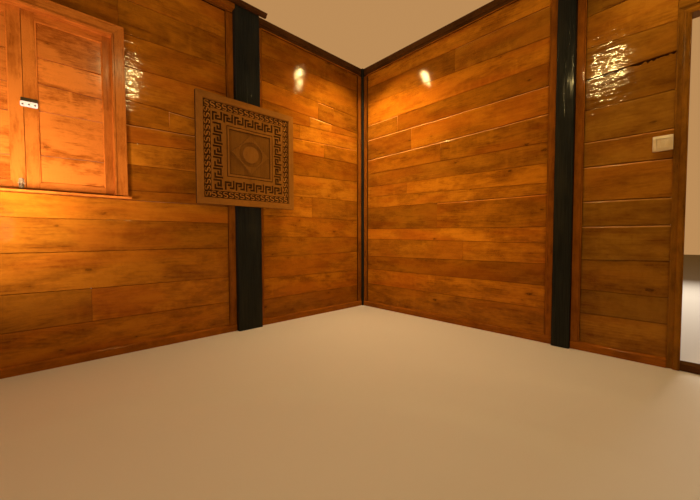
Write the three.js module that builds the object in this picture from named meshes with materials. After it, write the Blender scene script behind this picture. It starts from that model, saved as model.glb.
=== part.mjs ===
// Inside corner of a timber post-and-plank house wall, in millimetres, +Z up.
// The origin is on the floor where the two plank faces meet. The window wall runs along -X with its
// room face at y = 0, and the door wall runs along -Y with its room face at x = 0.
// A place on a wall is given by its run, the distance from the corner, and by its depth, from the
// plank's room face towards the outside.
import * as THREE from 'three';

// Heights above the floor
const WALL_TOP = 2600;
const TOP_RAIL_UNDER = 2512;
const BOTTOM_RAIL_TOP = 55;

// Timber sections, as depths
const BOARD = 30;
const FRAME_FRONT = -15;
const FRAME_BACK = 45;
const SKIRTING_FRONT = -22;
const GROOVE = 12;

// Posts
const CORNER_POST = { front: -37, back: 150 };
const WINDOW_WALL_POST = { wide: 211, front: -60, back: 140 };
const DOOR_WALL_POST = { wide: 110, front: -50, back: 110 };
const CORNER_POST_RUN = -CORNER_POST.front;

// Window wall, as runs from the corner
const WINDOW_WALL_POST_RUN = 1269;
const WINDOW_WALL_END_RUN = 3853;
const CORNER_STILE = 51;
const WINDOW_WALL_POST_STILE = 39;
const WINDOW_BAY_STILE = 55;
const HEAD_BEAM_UNDER = 2520;
const FASCIA_UNDER = 2540;
const CROWN = { end: 1219, out: 41, under: 2573, fillet: 8 };

// Window, with the meeting line of its shutters in the middle
const WINDOW = { middle: 2670, halfWide: 405, sillTop: 1030, headUnder: 2034 };
const WINDOW_MEMBER = 40;
const REBATE = { wide: 15, depth: 50 };
const WINDOW_FRAME_BACK = 90;
const SILL = { thick: 22, nose: 38, horn: 15 };
const CASING = { wide: 67, thick: 20, head: 63 };

// Shutters
const SHUTTER = { under: 1040, thick: 34, stile: 55, rail: 53, bottomRail: 36 };
const SHUTTER_BOARD = { front: 8, thick: 16 };
const SHUTTER_CLEARANCE = 2;
const MEETING_GAP = 2;
const HASP = { near: 2611, far: 2684, under: 1495, top: 1546, out: 9 };
const BOLT = { near: 2674, far: 2706, under: 1036, top: 1094, out: 12 };

// Carved panel, fixed on the face of the window wall post
const CARVED_PANEL = { near: 974, far: 1794, under: 1007, top: 1823, thick: 35 };
const CARVED_PANEL_BORDER = 48;
const CARVED_FIELD_THICK = 27;

// Door wall, as runs from the corner
const DOOR_WALL_POST_RUN = 1885;
const DOOR_WALL_END_RUN = 3440;
const CORNER_STILE_DOOR_WALL = 46;
const DOOR_WALL_POST_STILE = 50;
const DOOR_BAY_STILE = 50;

// Doorway
const DOORWAY = { near: 2520, far: 3385, head: 1970 };
const JAMB = { wide: 55, step: 30, front: -25, stepFront: -12, back: 90 };
const DOOR_REBATE = 15;
const THRESHOLD = { thick: 38, front: -15, back: 75 };

// Light switch
const SWITCH = { near: 2378, far: 2464, under: 1247, top: 1333, out: 30, plate: 8, inset: 5 };

// Colours and surfaces
const FINISHES = {
  blackPost: { color: 0x1a150c, roughness: 0.35 },
  varnishedBoard: { color: 0x96500f, roughness: 0.3 },
  frameTimber: { color: 0x7d4212, roughness: 0.35 },
  darkRail: { color: 0x3a2208, roughness: 0.4 },
  shutterTimber: { color: 0xb4601c, roughness: 0.35 },
  carvedTimber: { color: 0x7a4a1c, roughness: 0.6 },
  paleMetal: { color: 0xd8cfb8, roughness: 0.35, metalness: 0.9 },
  brass: { color: 0xc9a860, roughness: 0.3, metalness: 0.9 },
  creamPlastic: { color: 0xe8dfc0, roughness: 0.4 },
};

// Turns that carry an outline's two directions and its extrusion onto the walls' directions
const ALONG_X = new THREE.Matrix4().set(0, 0, 1, 0, 1, 0, 0, 0, 0, 1, 0, 0, 0, 0, 0, 1);
const ALONG_Y = new THREE.Matrix4().set(0, 1, 0, 0, 0, 0, 1, 0, 1, 0, 0, 0, 0, 0, 0, 1);
const ALONG_Z = new THREE.Matrix4();

const windowWall = {
  plan: (run, depth) => new THREE.Vector2(-run, depth),
  section: (depth, height) => new THREE.Vector2(depth, height),
  lengthwise: ALONG_X,
  start: (run) => new THREE.Vector3(-run, 0, 0),
};

const doorWall = {
  plan: (run, depth) => new THREE.Vector2(depth, -run),
  section: (depth, height) => new THREE.Vector2(height, depth),
  lengthwise: ALONG_Y,
  start: (run) => new THREE.Vector3(0, -run, 0),
};

const group = new THREE.Group();

function addPiece(name, finish, outline, length, turn, place) {
  const geometry = new THREE.ExtrudeGeometry(outline, {
    depth: length,
    bevelEnabled: false,
    curveSegments: 6,
  });
  geometry.applyMatrix4(turn);
  const piece = new THREE.Mesh(geometry, new THREE.MeshStandardMaterial(FINISHES[finish]));
  piece.name = name;
  piece.position.copy(place);
  group.add(piece);
}

// A timber standing upright, from its outline in plan as [run, depth] pairs
function addUpright(name, finish, wall, outline, under, top) {
  const shape = new THREE.Shape(outline.map(([run, depth]) => wall.plan(run, depth)));
  addPiece(name, finish, shape, top - under, ALONG_Z, new THREE.Vector3(0, 0, under));
}

// A timber lying along the wall, from its cross-section as [depth, height] pairs
function addLevel(name, finish, wall, section, near, far) {
  const shape = new THREE.Shape(section.map(([depth, height]) => wall.section(depth, height)));
  addPiece(name, finish, shape, far - near, wall.lengthwise, wall.start(far));
}

// A piece of even thickness that lies in the window wall's plane, from its front outline and any holes
// as [run, height] pairs
function addFlat(name, finish, outline, holes, front, thick) {
  const points = (pairs) => pairs.map(([run, height]) => new THREE.Vector2(height, -run));
  const shape = new THREE.Shape(points(outline));
  shape.holes = holes.map((hole) => new THREE.Path(points(hole)));
  addPiece(name, finish, shape, thick, ALONG_Y, new THREE.Vector3(0, front, 0));
}

function rectangle(a, b, c, d) {
  return [[a, c], [b, c], [b, d], [a, d]];
}

function addBlock(name, finish, wall, near, far, front, back, under, top) {
  addUpright(name, finish, wall, rectangle(near, far, front, back), under, top);
}

// The outline of a frame timber across its length, from its plain edge to the edge with the groove
// that holds the boards, as [place, depth] pairs
function groovedOutline(plain, grooved, front = FRAME_FRONT) {
  const bottom = grooved + Math.sign(plain - grooved) * GROOVE;
  return [
    [plain, front],
    [grooved, front],
    [grooved, 0],
    [bottom, 0],
    [bottom, BOARD],
    [grooved, BOARD],
    [grooved, FRAME_BACK],
    [plain, FRAME_BACK],
  ];
}

function turned(pairs) {
  return pairs.map(([first, second]) => [second, first]);
}

function addStile(name, wall, plain, grooved, top) {
  addUpright(name, 'frameTimber', wall, groovedOutline(plain, grooved), BOTTOM_RAIL_TOP, top);
}

function addTopRail(name, wall, near, far) {
  const section = turned(groovedOutline(WALL_TOP, TOP_RAIL_UNDER));
  addLevel(name, 'darkRail', wall, section, near, far);
}

function addBottomRail(name, wall, near, far) {
  const section = turned(groovedOutline(0, BOTTOM_RAIL_TOP, SKIRTING_FRONT));
  addLevel(name, 'frameTimber', wall, section, near, far);
}

function addBoards(name, wall, near, far, under, top) {
  addBlock(name, 'varnishedBoard', wall, near, far, 0, BOARD, under, top);
}

const BOARDS_UNDER = BOTTOM_RAIL_TOP - GROOVE;
const BOARDS_TOP = TOP_RAIL_UNDER + GROOVE;

// A bay of boards from the corner post to the next post
function addCornerBay(prefix, wall, post, cornerStile, postStile) {
  const start = CORNER_POST_RUN;
  addStile(`${prefix}_stile_at_corner`, wall, start, start + cornerStile, TOP_RAIL_UNDER);
  addStile(`${prefix}_stile_at_post`, wall, post, post - postStile, TOP_RAIL_UNDER);
  addTopRail(`${prefix}_top_rail`, wall, start, post);
  addBottomRail(`${prefix}_bottom_rail`, wall, start, post);
  const near = start + cornerStile - GROOVE;
  const far = post - postStile + GROOVE;
  addBoards(`${prefix}_boards`, wall, near, far, BOARDS_UNDER, BOARDS_TOP);
}

function addPosts() {
  const { front, back } = CORNER_POST;
  addBlock('corner_post', 'blackPost', windowWall, -back, -front, front, back, 0, WALL_TOP);
  for (const [name, wall, run, post] of [
    ['window_wall_post', windowWall, WINDOW_WALL_POST_RUN, WINDOW_WALL_POST],
    ['window_wall_end_post', windowWall, WINDOW_WALL_END_RUN, WINDOW_WALL_POST],
    ['door_wall_post', doorWall, DOOR_WALL_POST_RUN, DOOR_WALL_POST],
    ['door_wall_end_post', doorWall, DOOR_WALL_END_RUN, DOOR_WALL_POST],
  ]) {
    addBlock(name, 'blackPost', wall, run, run + post.wide, post.front, post.back, 0, WALL_TOP);
  }
}

const WINDOW_BAY_START = WINDOW_WALL_POST_RUN + WINDOW_WALL_POST.wide;
const WINDOW_NEAR = WINDOW.middle - WINDOW.halfWide;
const WINDOW_FAR = WINDOW.middle + WINDOW.halfWide;

// The beam over the window bay: a grooved rail whose upper part comes out flush with the posts
function addHeadBeam() {
  const section = [
    [FRAME_BACK, WALL_TOP],
    [WINDOW_WALL_POST.front, WALL_TOP],
    [WINDOW_WALL_POST.front, FASCIA_UNDER],
    [FRAME_FRONT, FASCIA_UNDER],
    [FRAME_FRONT, HEAD_BEAM_UNDER],
    [0, HEAD_BEAM_UNDER],
    [0, HEAD_BEAM_UNDER + GROOVE],
    [BOARD, HEAD_BEAM_UNDER + GROOVE],
    [BOARD, HEAD_BEAM_UNDER],
    [FRAME_BACK, HEAD_BEAM_UNDER],
  ];
  addLevel('window_bay_head_beam', 'frameTimber', windowWall, section, WINDOW_BAY_START,
    WINDOW_WALL_END_RUN);
}

// A cove moulding under the ceiling line, on the faces of the head beam and its two posts
function addCrownMoulding() {
  const back = WINDOW_WALL_POST.front;
  const front = back - CROWN.out;
  const shape = new THREE.Shape();
  shape.moveTo(back, WALL_TOP);
  shape.lineTo(front, WALL_TOP);
  shape.lineTo(front, WALL_TOP - CROWN.fillet);
  shape.quadraticCurveTo(back - CROWN.out / 3, WALL_TOP - CROWN.fillet, back - CROWN.fillet,
    CROWN.under + CROWN.fillet);
  shape.lineTo(back - CROWN.fillet, CROWN.under);
  shape.lineTo(back, CROWN.under);
  const end = WINDOW_WALL_END_RUN + WINDOW_WALL_POST.wide;
  addPiece('crown_moulding', 'darkRail', shape, end - CROWN.end, ALONG_X, windowWall.start(end));
}

function addWindowBay() {
  const stile = WINDOW_BAY_STILE;
  const start = WINDOW_BAY_START;
  const end = WINDOW_WALL_END_RUN;
  addStile('window_bay_stile_at_post', windowWall, start, start + stile, HEAD_BEAM_UNDER);
  addStile('window_bay_stile_at_end', windowWall, end, end - stile, HEAD_BEAM_UNDER);
  addHeadBeam();
  addBottomRail('window_bay_bottom_rail', windowWall, start, end);
  const top = HEAD_BEAM_UNDER + GROOVE;
  const near = start + stile - GROOVE;
  const far = end - stile + GROOVE;
  const frameNear = WINDOW_NEAR - WINDOW_MEMBER;
  const frameFar = WINDOW_FAR + WINDOW_MEMBER;
  const frameTop = WINDOW.headUnder + WINDOW_MEMBER;
  const sillUnder = WINDOW.sillTop - SILL.thick;
  addBoards('window_bay_boards_right', windowWall, near, frameNear, BOARDS_UNDER, top);
  addBoards('window_bay_boards_left', windowWall, frameFar, far, BOARDS_UNDER, top);
  addBoards('window_bay_boards_over', windowWall, frameNear, frameFar, frameTop, top);
  addBoards('window_bay_boards_under', windowWall, frameNear, frameFar, BOARDS_UNDER, sillUnder);
}

// A frame member around an opening, from its outer edge to its inner edge, with a rebate on the
// outside of the inner edge that a leaf closes into
function rebatedOutline(outer, inner, front, back, rebateWide) {
  const shoulder = inner + Math.sign(outer - inner) * rebateWide;
  return [
    [outer, front],
    [inner, front],
    [inner, REBATE.depth],
    [shoulder, REBATE.depth],
    [shoulder, back],
    [outer, back],
  ];
}

function addWindowFrame() {
  const near = WINDOW_NEAR;
  const far = WINDOW_FAR;
  const member = WINDOW_MEMBER;
  const top = WINDOW.headUnder + member;
  for (const [name, outer, inner] of [
    ['window_right_jamb', near - member, near],
    ['window_left_jamb', far + member, far],
  ]) {
    const outline = rebatedOutline(outer, inner, 0, WINDOW_FRAME_BACK, REBATE.wide);
    addUpright(name, 'shutterTimber', windowWall, outline, WINDOW.sillTop, WINDOW.headUnder);
  }
  const head = turned(rebatedOutline(top, WINDOW.headUnder, 0, WINDOW_FRAME_BACK, REBATE.wide));
  addLevel('window_head', 'shutterTimber', windowWall, head, near - member, far + member);
}

// A sill under the frame, with horns past the casings on both faces of the wall
function addSill() {
  const end = WINDOW.halfWide + WINDOW_MEMBER;
  const insideHorn = WINDOW.halfWide + CASING.wide + SILL.horn;
  const outsideHorn = end + CASING.wide + SILL.horn;
  const front = -SILL.nose;
  const back = WINDOW_FRAME_BACK + SILL.nose;
  const half = [
    [insideHorn, front],
    [insideHorn, 0],
    [end, 0],
    [end, BOARD],
    [outsideHorn, BOARD],
    [outsideHorn, back],
  ];
  const near = half.map(([wide, depth]) => [WINDOW.middle - wide, depth]);
  const far = half.map(([wide, depth]) => [WINDOW.middle + wide, depth]);
  const under = WINDOW.sillTop - SILL.thick;
  addUpright('window_sill', 'shutterTimber', windowWall, [...near, ...far.reverse()], under,
    WINDOW.sillTop);
}

// Boards planted around the window over the joint between its frame and the planks, set back from the
// frame's opening
function addCasing(name, front, setBack) {
  const inner = WINDOW.halfWide + setBack;
  const outer = inner + CASING.wide;
  const head = WINDOW.headUnder + setBack;
  const half = [
    [inner, WINDOW.sillTop],
    [inner, head],
  ];
  const edge = [
    [outer, head + CASING.head],
    [outer, WINDOW.sillTop],
  ];
  const near = ([wide, height]) => [WINDOW.middle - wide, height];
  const far = ([wide, height]) => [WINDOW.middle + wide, height];
  const outline = [
    ...half.map(near),
    ...half.toReversed().map(far),
    ...edge.toReversed().map(far),
    ...edge.map(near),
  ];
  addFlat(name, 'shutterTimber', outline, [], front, CASING.thick);
}

// A shutter leaf: a frame of stiles and rails, and the boards let into it
function addShutter(side, near, far) {
  const under = SHUTTER.under;
  const top = WINDOW.headUnder + REBATE.wide - SHUTTER_CLEARANCE;
  const light = [
    near + SHUTTER.stile,
    far - SHUTTER.stile,
    under + SHUTTER.bottomRail,
    top - SHUTTER.rail,
  ];
  const outline = rectangle(near, far, under, top);
  const front = REBATE.depth;
  const boards = front + SHUTTER_BOARD.front;
  addFlat(`${side}_shutter_frame`, 'shutterTimber', outline, [rectangle(...light)], front,
    SHUTTER.thick);
  addFlat(`${side}_shutter_boards`, 'shutterTimber', rectangle(...light), [], boards,
    SHUTTER_BOARD.thick);
}

function addShutters() {
  const reach = WINDOW.halfWide + REBATE.wide - SHUTTER_CLEARANCE;
  addShutter('right', WINDOW.middle - reach, WINDOW.middle - MEETING_GAP / 2);
  addShutter('left', WINDOW.middle + MEETING_GAP / 2, WINDOW.middle + reach);
  for (const [name, finish, fitting] of [
    ['shutter_hasp', 'paleMetal', HASP],
    ['shutter_bolt', 'brass', BOLT],
  ]) {
    addBlock(name, finish, windowWall, fitting.near, fitting.far, REBATE.depth - fitting.out,
      REBATE.depth, fitting.under, fitting.top);
  }
}

// A flat ring on the post's face and the carved field inside it
function addCarvedPanel() {
  const { near, far, under, top, thick } = CARVED_PANEL;
  const border = CARVED_PANEL_BORDER;
  const back = WINDOW_WALL_POST.front;
  const outline = rectangle(near, far, under, top);
  const field = rectangle(near + border, far - border, under + border, top - border);
  addFlat('carved_panel_frame', 'carvedTimber', outline, [field], back - thick, thick);
  addFlat('carved_panel_field', 'carvedTimber', field, [], back - CARVED_FIELD_THICK,
    CARVED_FIELD_THICK);
}

function addDoorBay() {
  const start = DOOR_WALL_POST_RUN + DOOR_WALL_POST.wide;
  const end = DOOR_WALL_END_RUN;
  const doorFrame = DOORWAY.near - JAMB.wide;
  const headTop = DOORWAY.head + JAMB.wide;
  addStile('door_bay_stile', doorWall, start, start + DOOR_BAY_STILE, TOP_RAIL_UNDER);
  addTopRail('door_bay_top_rail', doorWall, start, end);
  addBottomRail('door_bay_bottom_rail', doorWall, start, doorFrame);
  const near = start + DOOR_BAY_STILE - GROOVE;
  addBoards('door_bay_boards_beside', doorWall, near, doorFrame, BOARDS_UNDER, BOARDS_TOP);
  addBoards('door_bay_boards_over', doorWall, doorFrame, end, headTop, BOARDS_TOP);
}

// A member of the door frame: its room face has a step, and its outside has a rebate
function steppedOutline(outer, inner) {
  const towards = Math.sign(outer - inner);
  const step = inner + towards * JAMB.step;
  const shoulder = inner + towards * DOOR_REBATE;
  return [
    [outer, JAMB.stepFront],
    [step, JAMB.stepFront],
    [step, JAMB.front],
    [inner, JAMB.front],
    [inner, REBATE.depth],
    [shoulder, REBATE.depth],
    [shoulder, JAMB.back],
    [outer, JAMB.back],
  ];
}

function addDoorFrame() {
  const { near, far, head } = DOORWAY;
  const headTop = head + JAMB.wide;
  const nearJamb = steppedOutline(near - JAMB.wide, near);
  const farJamb = steppedOutline(far + JAMB.wide, far);
  const headSection = turned(steppedOutline(headTop, head));
  addUpright('door_near_jamb', 'frameTimber', doorWall, nearJamb, 0, headTop);
  addUpright('door_far_jamb', 'frameTimber', doorWall, farJamb, 0, headTop);
  addLevel('door_head', 'frameTimber', doorWall, headSection, near, far);
  addBlock('door_threshold', 'darkRail', doorWall, near, far, THRESHOLD.front, THRESHOLD.back, 0,
    THRESHOLD.thick);
}

// A surface-mounted switch: a shallow box with a wider plate on its front
function addSwitch() {
  const { near, far, under, top, out, plate, inset } = SWITCH;
  const outline = [
    [near + inset, 0],
    [near + inset, plate - out],
    [near, plate - out],
    [near, -out],
    [far, -out],
    [far, plate - out],
    [far - inset, plate - out],
    [far - inset, 0],
  ];
  addUpright('light_switch', 'creamPlastic', doorWall, outline, under, top);
}

addPosts();
addCornerBay('window_wall_corner_bay', windowWall, WINDOW_WALL_POST_RUN, CORNER_STILE,
  WINDOW_WALL_POST_STILE);
addWindowBay();
addCrownMoulding();
addWindowFrame();
addSill();
addCasing('window_inside_casing', -CASING.thick, 0);
addCasing('window_outside_casing', BOARD, WINDOW_MEMBER);
addShutters();
addCarvedPanel();
addCornerBay('door_wall_corner_bay', doorWall, DOOR_WALL_POST_RUN, CORNER_STILE_DOOR_WALL,
  DOOR_WALL_POST_STILE);
addDoorBay();
addDoorFrame();
addSwitch();

export default group;
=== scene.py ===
"""The finish of a timber post-and-plank wall corner, laid out as an add-on.

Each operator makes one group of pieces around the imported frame. A piece is modelled in its wall's
own directions: x along the wall, y into the wall from the face of its boards, and z up. Pieces of
the door wall are turned onto it when they are done. All lengths are in metres.
"""
import math
import random
from contextlib import contextmanager

import bmesh
import bpy
import numpy as np
from bpy.props import FloatProperty, FloatVectorProperty, PointerProperty
from mathutils import Matrix, Vector


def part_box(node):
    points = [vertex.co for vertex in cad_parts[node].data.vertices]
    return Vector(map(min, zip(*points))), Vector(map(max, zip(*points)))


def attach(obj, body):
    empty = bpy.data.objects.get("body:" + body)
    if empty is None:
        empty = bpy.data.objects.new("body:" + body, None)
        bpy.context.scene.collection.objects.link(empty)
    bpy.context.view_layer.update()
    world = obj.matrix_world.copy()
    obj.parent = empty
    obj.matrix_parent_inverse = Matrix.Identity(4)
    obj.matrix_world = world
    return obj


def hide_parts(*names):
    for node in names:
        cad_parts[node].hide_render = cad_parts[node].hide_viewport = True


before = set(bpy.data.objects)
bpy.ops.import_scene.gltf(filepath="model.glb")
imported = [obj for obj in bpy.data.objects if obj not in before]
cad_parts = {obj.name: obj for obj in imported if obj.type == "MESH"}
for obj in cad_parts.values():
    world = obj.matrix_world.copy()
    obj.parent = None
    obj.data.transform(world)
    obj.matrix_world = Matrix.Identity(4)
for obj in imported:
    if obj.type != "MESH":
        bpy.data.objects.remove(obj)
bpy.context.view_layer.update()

bl_info = {
    "name": "Timber plank wall corner",
    "version": (1, 0, 0),
    "blender": (4, 5, 0),
    "location": "3D View > Sidebar > Plank wall",
    "description": "Boards, frames, shutters, carving and fittings of a timber plank wall corner",
    "category": "Add Mesh",
}

WINDOW_WALL = "window wall"
DOOR_WALL = "door wall"
SWAP_WALLS = Matrix(((0, 1, 0, 0), (1, 0, 0, 0), (0, 0, 1, 0), (0, 0, 0, 1)))

# Depths from the face of the boards, the same as in the frame
FRAME_FRONT = -0.015
BOARD_BACK = 0.030
GROOVE_DEPTH = 0.012
POST_FACE = -0.060
SEAT_BACK = -0.001

# Half the width of a split between two boards
SPLIT_GAP = 0.013

# The tone that stands for a worn upper edge, painted pale as wear and as a painted highlight; plain
# timber stays below 1
WORN_LIT_TONE = 3.0


# Settings

def length(name, description, default):
    return FloatProperty(
        name=name, description=description, default=default, min=0.0, unit="LENGTH"
    )


def power(name, description, default):
    return FloatProperty(
        name=name, description=description, default=default, min=0.0, unit="POWER"
    )


def colour(name, description, default):
    return FloatVectorProperty(
        name=name, description=description, default=default, min=0.0, max=1.0, subtype="COLOR"
    )


class WallSizes(bpy.types.PropertyGroup):
    board_gap: length("Board gap", "Open joint between two boards", 0.0026)
    board_rounding: length("Board rounding", "Radius of a board's edges", 0.0024)
    worn_rounding: length("Worn rounding", "Radius of a rubbed upper edge", 0.012)
    seam_wander: length("Seam wander", "How far a seam strays from its line", 0.007)
    frame_rounding: length("Frame rounding", "Radius of the frames' edges", 0.0018)
    bead: length("Bead", "Width of the bead inside each bay of boards", 0.008)
    hewing: length("Hewing", "Depth of the tool marks on the posts", 0.005)


class WallColours(bpy.types.PropertyGroup):
    board_light: colour("Boards, light", "Light wood of the boards", (0.46, 0.148, 0.006))
    board_dark: colour("Boards, dark", "Dark grain of the boards", (0.105, 0.025, 0.0015))
    # The worn colour paints the boards' upper edges pale: wear, and a painted highlight where light
    # catches them
    board_worn_lit_edge: colour("Boards, worn", "Pale wood of the worn upper edges", (0.68, 0.33, 0.10))
    board_old: colour("Boards, aged", "Duller boards by the doorway", (0.27, 0.120, 0.010))
    board_red: colour("Boards, red", "Red patches of the boards", (0.34, 0.070, 0.004))
    frame_light: colour("Frames, light", "Light wood of stiles and jambs", (0.29, 0.085, 0.006))
    frame_dark: colour("Frames, dark", "Dark grain of stiles and jambs", (0.10, 0.026, 0.002))
    doorway_light: colour("Doorway, light", "Light wood of the doorway", (0.26, 0.098, 0.007))
    doorway_dark: colour("Doorway, dark", "Dark grain of the doorway", (0.075, 0.026, 0.002))
    rail_light: colour("Top rails, light", "Light wood of the top rails", (0.085, 0.030, 0.006))
    rail_dark: colour("Top rails, dark", "Dark grain of the top rails", (0.026, 0.009, 0.002))
    shutter_light: colour("Window, light", "Light wood of the window", (0.62, 0.185, 0.018))
    shutter_dark: colour("Window, dark", "Dark grain of the window", (0.27, 0.062, 0.004))
    carving_light: colour("Carving, light", "Light wood of the carved panel", (0.27, 0.104, 0.013))
    carving_dark: colour("Carving, dark", "Dark grain of the carved panel", (0.125, 0.043, 0.005))
    post: colour("Posts", "Black stain of the posts", (0.0105, 0.0105, 0.0075))
    switch: colour("Switch", "Plastic of the light switch", (0.74, 0.57, 0.31))


class StageSettings(bpy.types.PropertyGroup):
    lens: FloatProperty(
        name="Lens", description="Focal length on a 36 mm sensor", default=16.68, min=1.0,
        unit="CAMERA",
    )
    floor: colour("Floor", "Colour of the floor", (0.64, 0.57, 0.47))
    backdrop: colour("Backdrop", "Colour of the plain backdrop", (0.50, 0.26, 0.095))
    surround: colour("Surround", "Colour of the studio around the wall", (0.92, 0.46, 0.125))
    surround_strength: FloatProperty(
        name="Surround strength", description="Brightness of the studio around the wall",
        default=0.2, min=0.0,
    )
    top_light: power("Top light", "Soft light from above", 8.5)
    front_light: power("Front light", "Soft light from above and behind the camera", 28.0)
    glow_light: power("Glow", "Glow below the window", 15.5)
    low_light: power("Low light", "Soft light from low down, near the corner", 6.5)
    outer_light: power("Outer light", "Soft light on each outside face", 260.0)
    corner_spot: power("Corner spot", "Small light overhead, near the corner", 20.0)
    wall_spot: power("Wall spot", "Small light overhead, before the door wall", 1.0)
    switch_spot: power("Switch spot", "Small light overhead, before the light switch", 4.3)
    glint: power("Glints", "Small lights that only the varnish mirrors", 40.0)


# Modelling by hand

def start_box(name, low, high, lean=0.0):
    """A box between two corners, its upper edge leaning out of the wall by an angle."""
    bpy.ops.object.select_all(action="DESELECT")
    low, high = Vector(low), Vector(high)
    bpy.ops.mesh.primitive_cube_add(
        size=1, location=(low + high) / 2, rotation=(lean, 0, 0), scale=high - low
    )
    bpy.ops.object.transform_apply(location=True, rotation=True, scale=True)
    piece = bpy.context.object
    piece.name = piece.data.name = name
    return piece


def start_round(name, middle, radius, depth, sides=24, direction="Y", end_radius=None):
    """A cylinder, or a cone where the end radius differs, about the given direction."""
    bpy.ops.object.select_all(action="DESELECT")
    turn = {"X": (0, math.pi / 2, 0), "Y": (math.pi / 2, 0, 0), "Z": (0, 0, 0)}[direction]
    end = radius if end_radius is None else end_radius
    bpy.ops.mesh.primitive_cone_add(
        vertices=sides, radius1=radius, radius2=end, depth=depth, location=middle, rotation=turn
    )
    bpy.ops.object.transform_apply(location=True, rotation=True, scale=True)
    piece = bpy.context.object
    piece.name = piece.data.name = name
    return piece


def make_active(piece):
    bpy.ops.object.select_all(action="DESELECT")
    piece.select_set(True)
    bpy.context.view_layer.objects.active = piece


@contextmanager
def editing(piece, kind="FACE"):
    """Edit mode on one piece, with nothing selected."""
    make_active(piece)
    bpy.ops.object.mode_set(mode="EDIT")
    bpy.ops.mesh.select_mode(type=kind)
    bpy.ops.mesh.select_all(action="DESELECT")
    yield
    bpy.ops.object.mode_set(mode="OBJECT")


def choose(piece, kind, test):
    """Selects the faces or edges that a test accepts."""
    mesh = bmesh.from_edit_mesh(piece.data)
    chosen = [part for part in (mesh.faces if kind == "FACE" else mesh.edges) if test(part)]
    if not chosen:
        raise RuntimeError(f"{piece.name} has nothing to shape there")
    for part in chosen:
        part.select_set(True)
    mesh.select_flush_mode()
    bmesh.update_edit_mesh(piece.data)


def edge_at(**places):
    """A test for edges whose two ends lie at the given places, such as x=0.1."""
    places = {"xyz".index(axis): place for axis, place in places.items()}
    return lambda edge: all(
        abs(end.co[axis] - place) < 1e-4 for end in edge.verts for axis, place in places.items()
    )


def edge_along(axis, shortest=0.0):
    """A test for edges that run along an axis."""
    axis = "xyz".index(axis)

    def test(edge):
        run = edge.verts[1].co - edge.verts[0].co
        return abs(run[axis]) > 0.9 * run.length and run.length > shortest
    return test


def face_towards(direction, **ranges):
    """A test for faces that look one way, with their middles in the given ranges."""
    direction = Vector(direction)
    ranges = {"xyz".index(axis): sorted(span) for axis, span in ranges.items()}

    def test(face):
        middle = face.calc_center_median()
        return face.normal.dot(direction) > 0.9 and all(
            low < middle[axis] < high for axis, (low, high) in ranges.items()
        )
    return test


def cut(piece, point, normal, keep="both"):
    """Saws through the whole piece; keep names the side that stays."""
    with editing(piece):
        bpy.ops.mesh.select_all(action="SELECT")
        bpy.ops.mesh.bisect(
            plane_co=point, plane_no=normal, use_fill=keep != "both",
            clear_inner=keep == "front", clear_outer=keep == "back",
        )


def cut_across(piece, axis, *places):
    """Marks the piece with cuts square to an axis."""
    normal = Vector([float(axis == letter) for letter in "xyz"])
    for place in places:
        cut(piece, normal * place, normal)


def mitre(piece, inner, outer):
    """Saws an end off on the line between two corners in the wall's plane, given as (x, z)."""
    along = Vector((outer[0] - inner[0], 0, outer[1] - inner[1]))
    normal = along.cross(Vector((0, 1, 0))).normalized()
    point = Vector((inner[0], 0, inner[1]))
    low, high = span(piece)
    side = normal.dot((low + high) / 2 - point)
    cut(piece, point, normal, keep="front" if side > 0 else "back")


def push(piece, test, offset):
    """Pulls faces out, or sinks them, by an offset."""
    with editing(piece):
        choose(piece, "FACE", test)
        bpy.ops.mesh.extrude_region_move(TRANSFORM_OT_translate={"value": offset})


def inset(piece, test, width):
    with editing(piece):
        choose(piece, "FACE", test)
        bpy.ops.mesh.inset(thickness=width)


def round_edges(piece, test, width, segments=3, shape=0.5):
    with editing(piece, "EDGE"):
        choose(piece, "EDGE", test)
        bpy.ops.mesh.bevel(offset=width, segments=segments, profile=shape, affect="EDGES")


def add_rings(piece, axis, count, shortest=0.0):
    """Divides the lengthwise edges, so that the surface can stray from straight."""
    with editing(piece, "EDGE"):
        choose(piece, "EDGE", edge_along(axis, shortest))
        bpy.ops.mesh.subdivide(number_cuts=count)


def soften(piece, width, segments=2):
    """Rounds every sharp edge."""
    bevel = piece.modifiers.new("rounding", "BEVEL")
    bevel.width = width
    bevel.segments = segments
    bevel.limit_method = "ANGLE"
    bevel.angle_limit = math.radians(40)
    make_active(piece)
    bpy.ops.object.modifier_apply(modifier=bevel.name)


def wander(piece, direction, reach, size, group=""):
    """Moves the surface to and fro along a direction, in waves of a size."""
    texture = bpy.data.textures.new("waves", "CLOUDS")
    texture.noise_scale = size
    waves = piece.modifiers.new("waves", "DISPLACE")
    waves.texture = texture
    waves.texture_coords = "GLOBAL"
    waves.direction = direction
    waves.strength = reach
    waves.vertex_group = group
    make_active(piece)
    bpy.ops.object.modifier_apply(modifier=waves.name)
    bpy.data.textures.remove(texture)


def join(name, parts):
    bpy.ops.object.select_all(action="DESELECT")
    for part in parts:
        part.select_set(True)
    bpy.context.view_layer.objects.active = parts[0]
    if len(parts) > 1:
        bpy.ops.object.join()
    whole = bpy.context.object
    whole.name = whole.data.name = name
    return whole


def copy_moved(piece, matrix):
    """A copy with its own mesh, moved by a matrix."""
    make_active(piece)
    bpy.ops.object.duplicate(linked=False)
    twin = bpy.context.object
    twin.data.transform(matrix)
    if matrix.determinant() < 0:
        twin.data.flip_normals()
    return twin


def points_of(piece):
    points = np.empty(len(piece.data.vertices) * 3, np.float32)
    piece.data.vertices.foreach_get("co", points)
    return points.reshape(-1, 3)


def span(piece):
    points = points_of(piece)
    return Vector(points.min(0)), Vector(points.max(0))


def node_span(node, wall):
    """A frame node's two corners in its wall's own directions."""
    low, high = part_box(node)
    if wall == DOOR_WALL:
        return SWAP_WALLS @ low, SWAP_WALLS @ high
    return low, high


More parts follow.
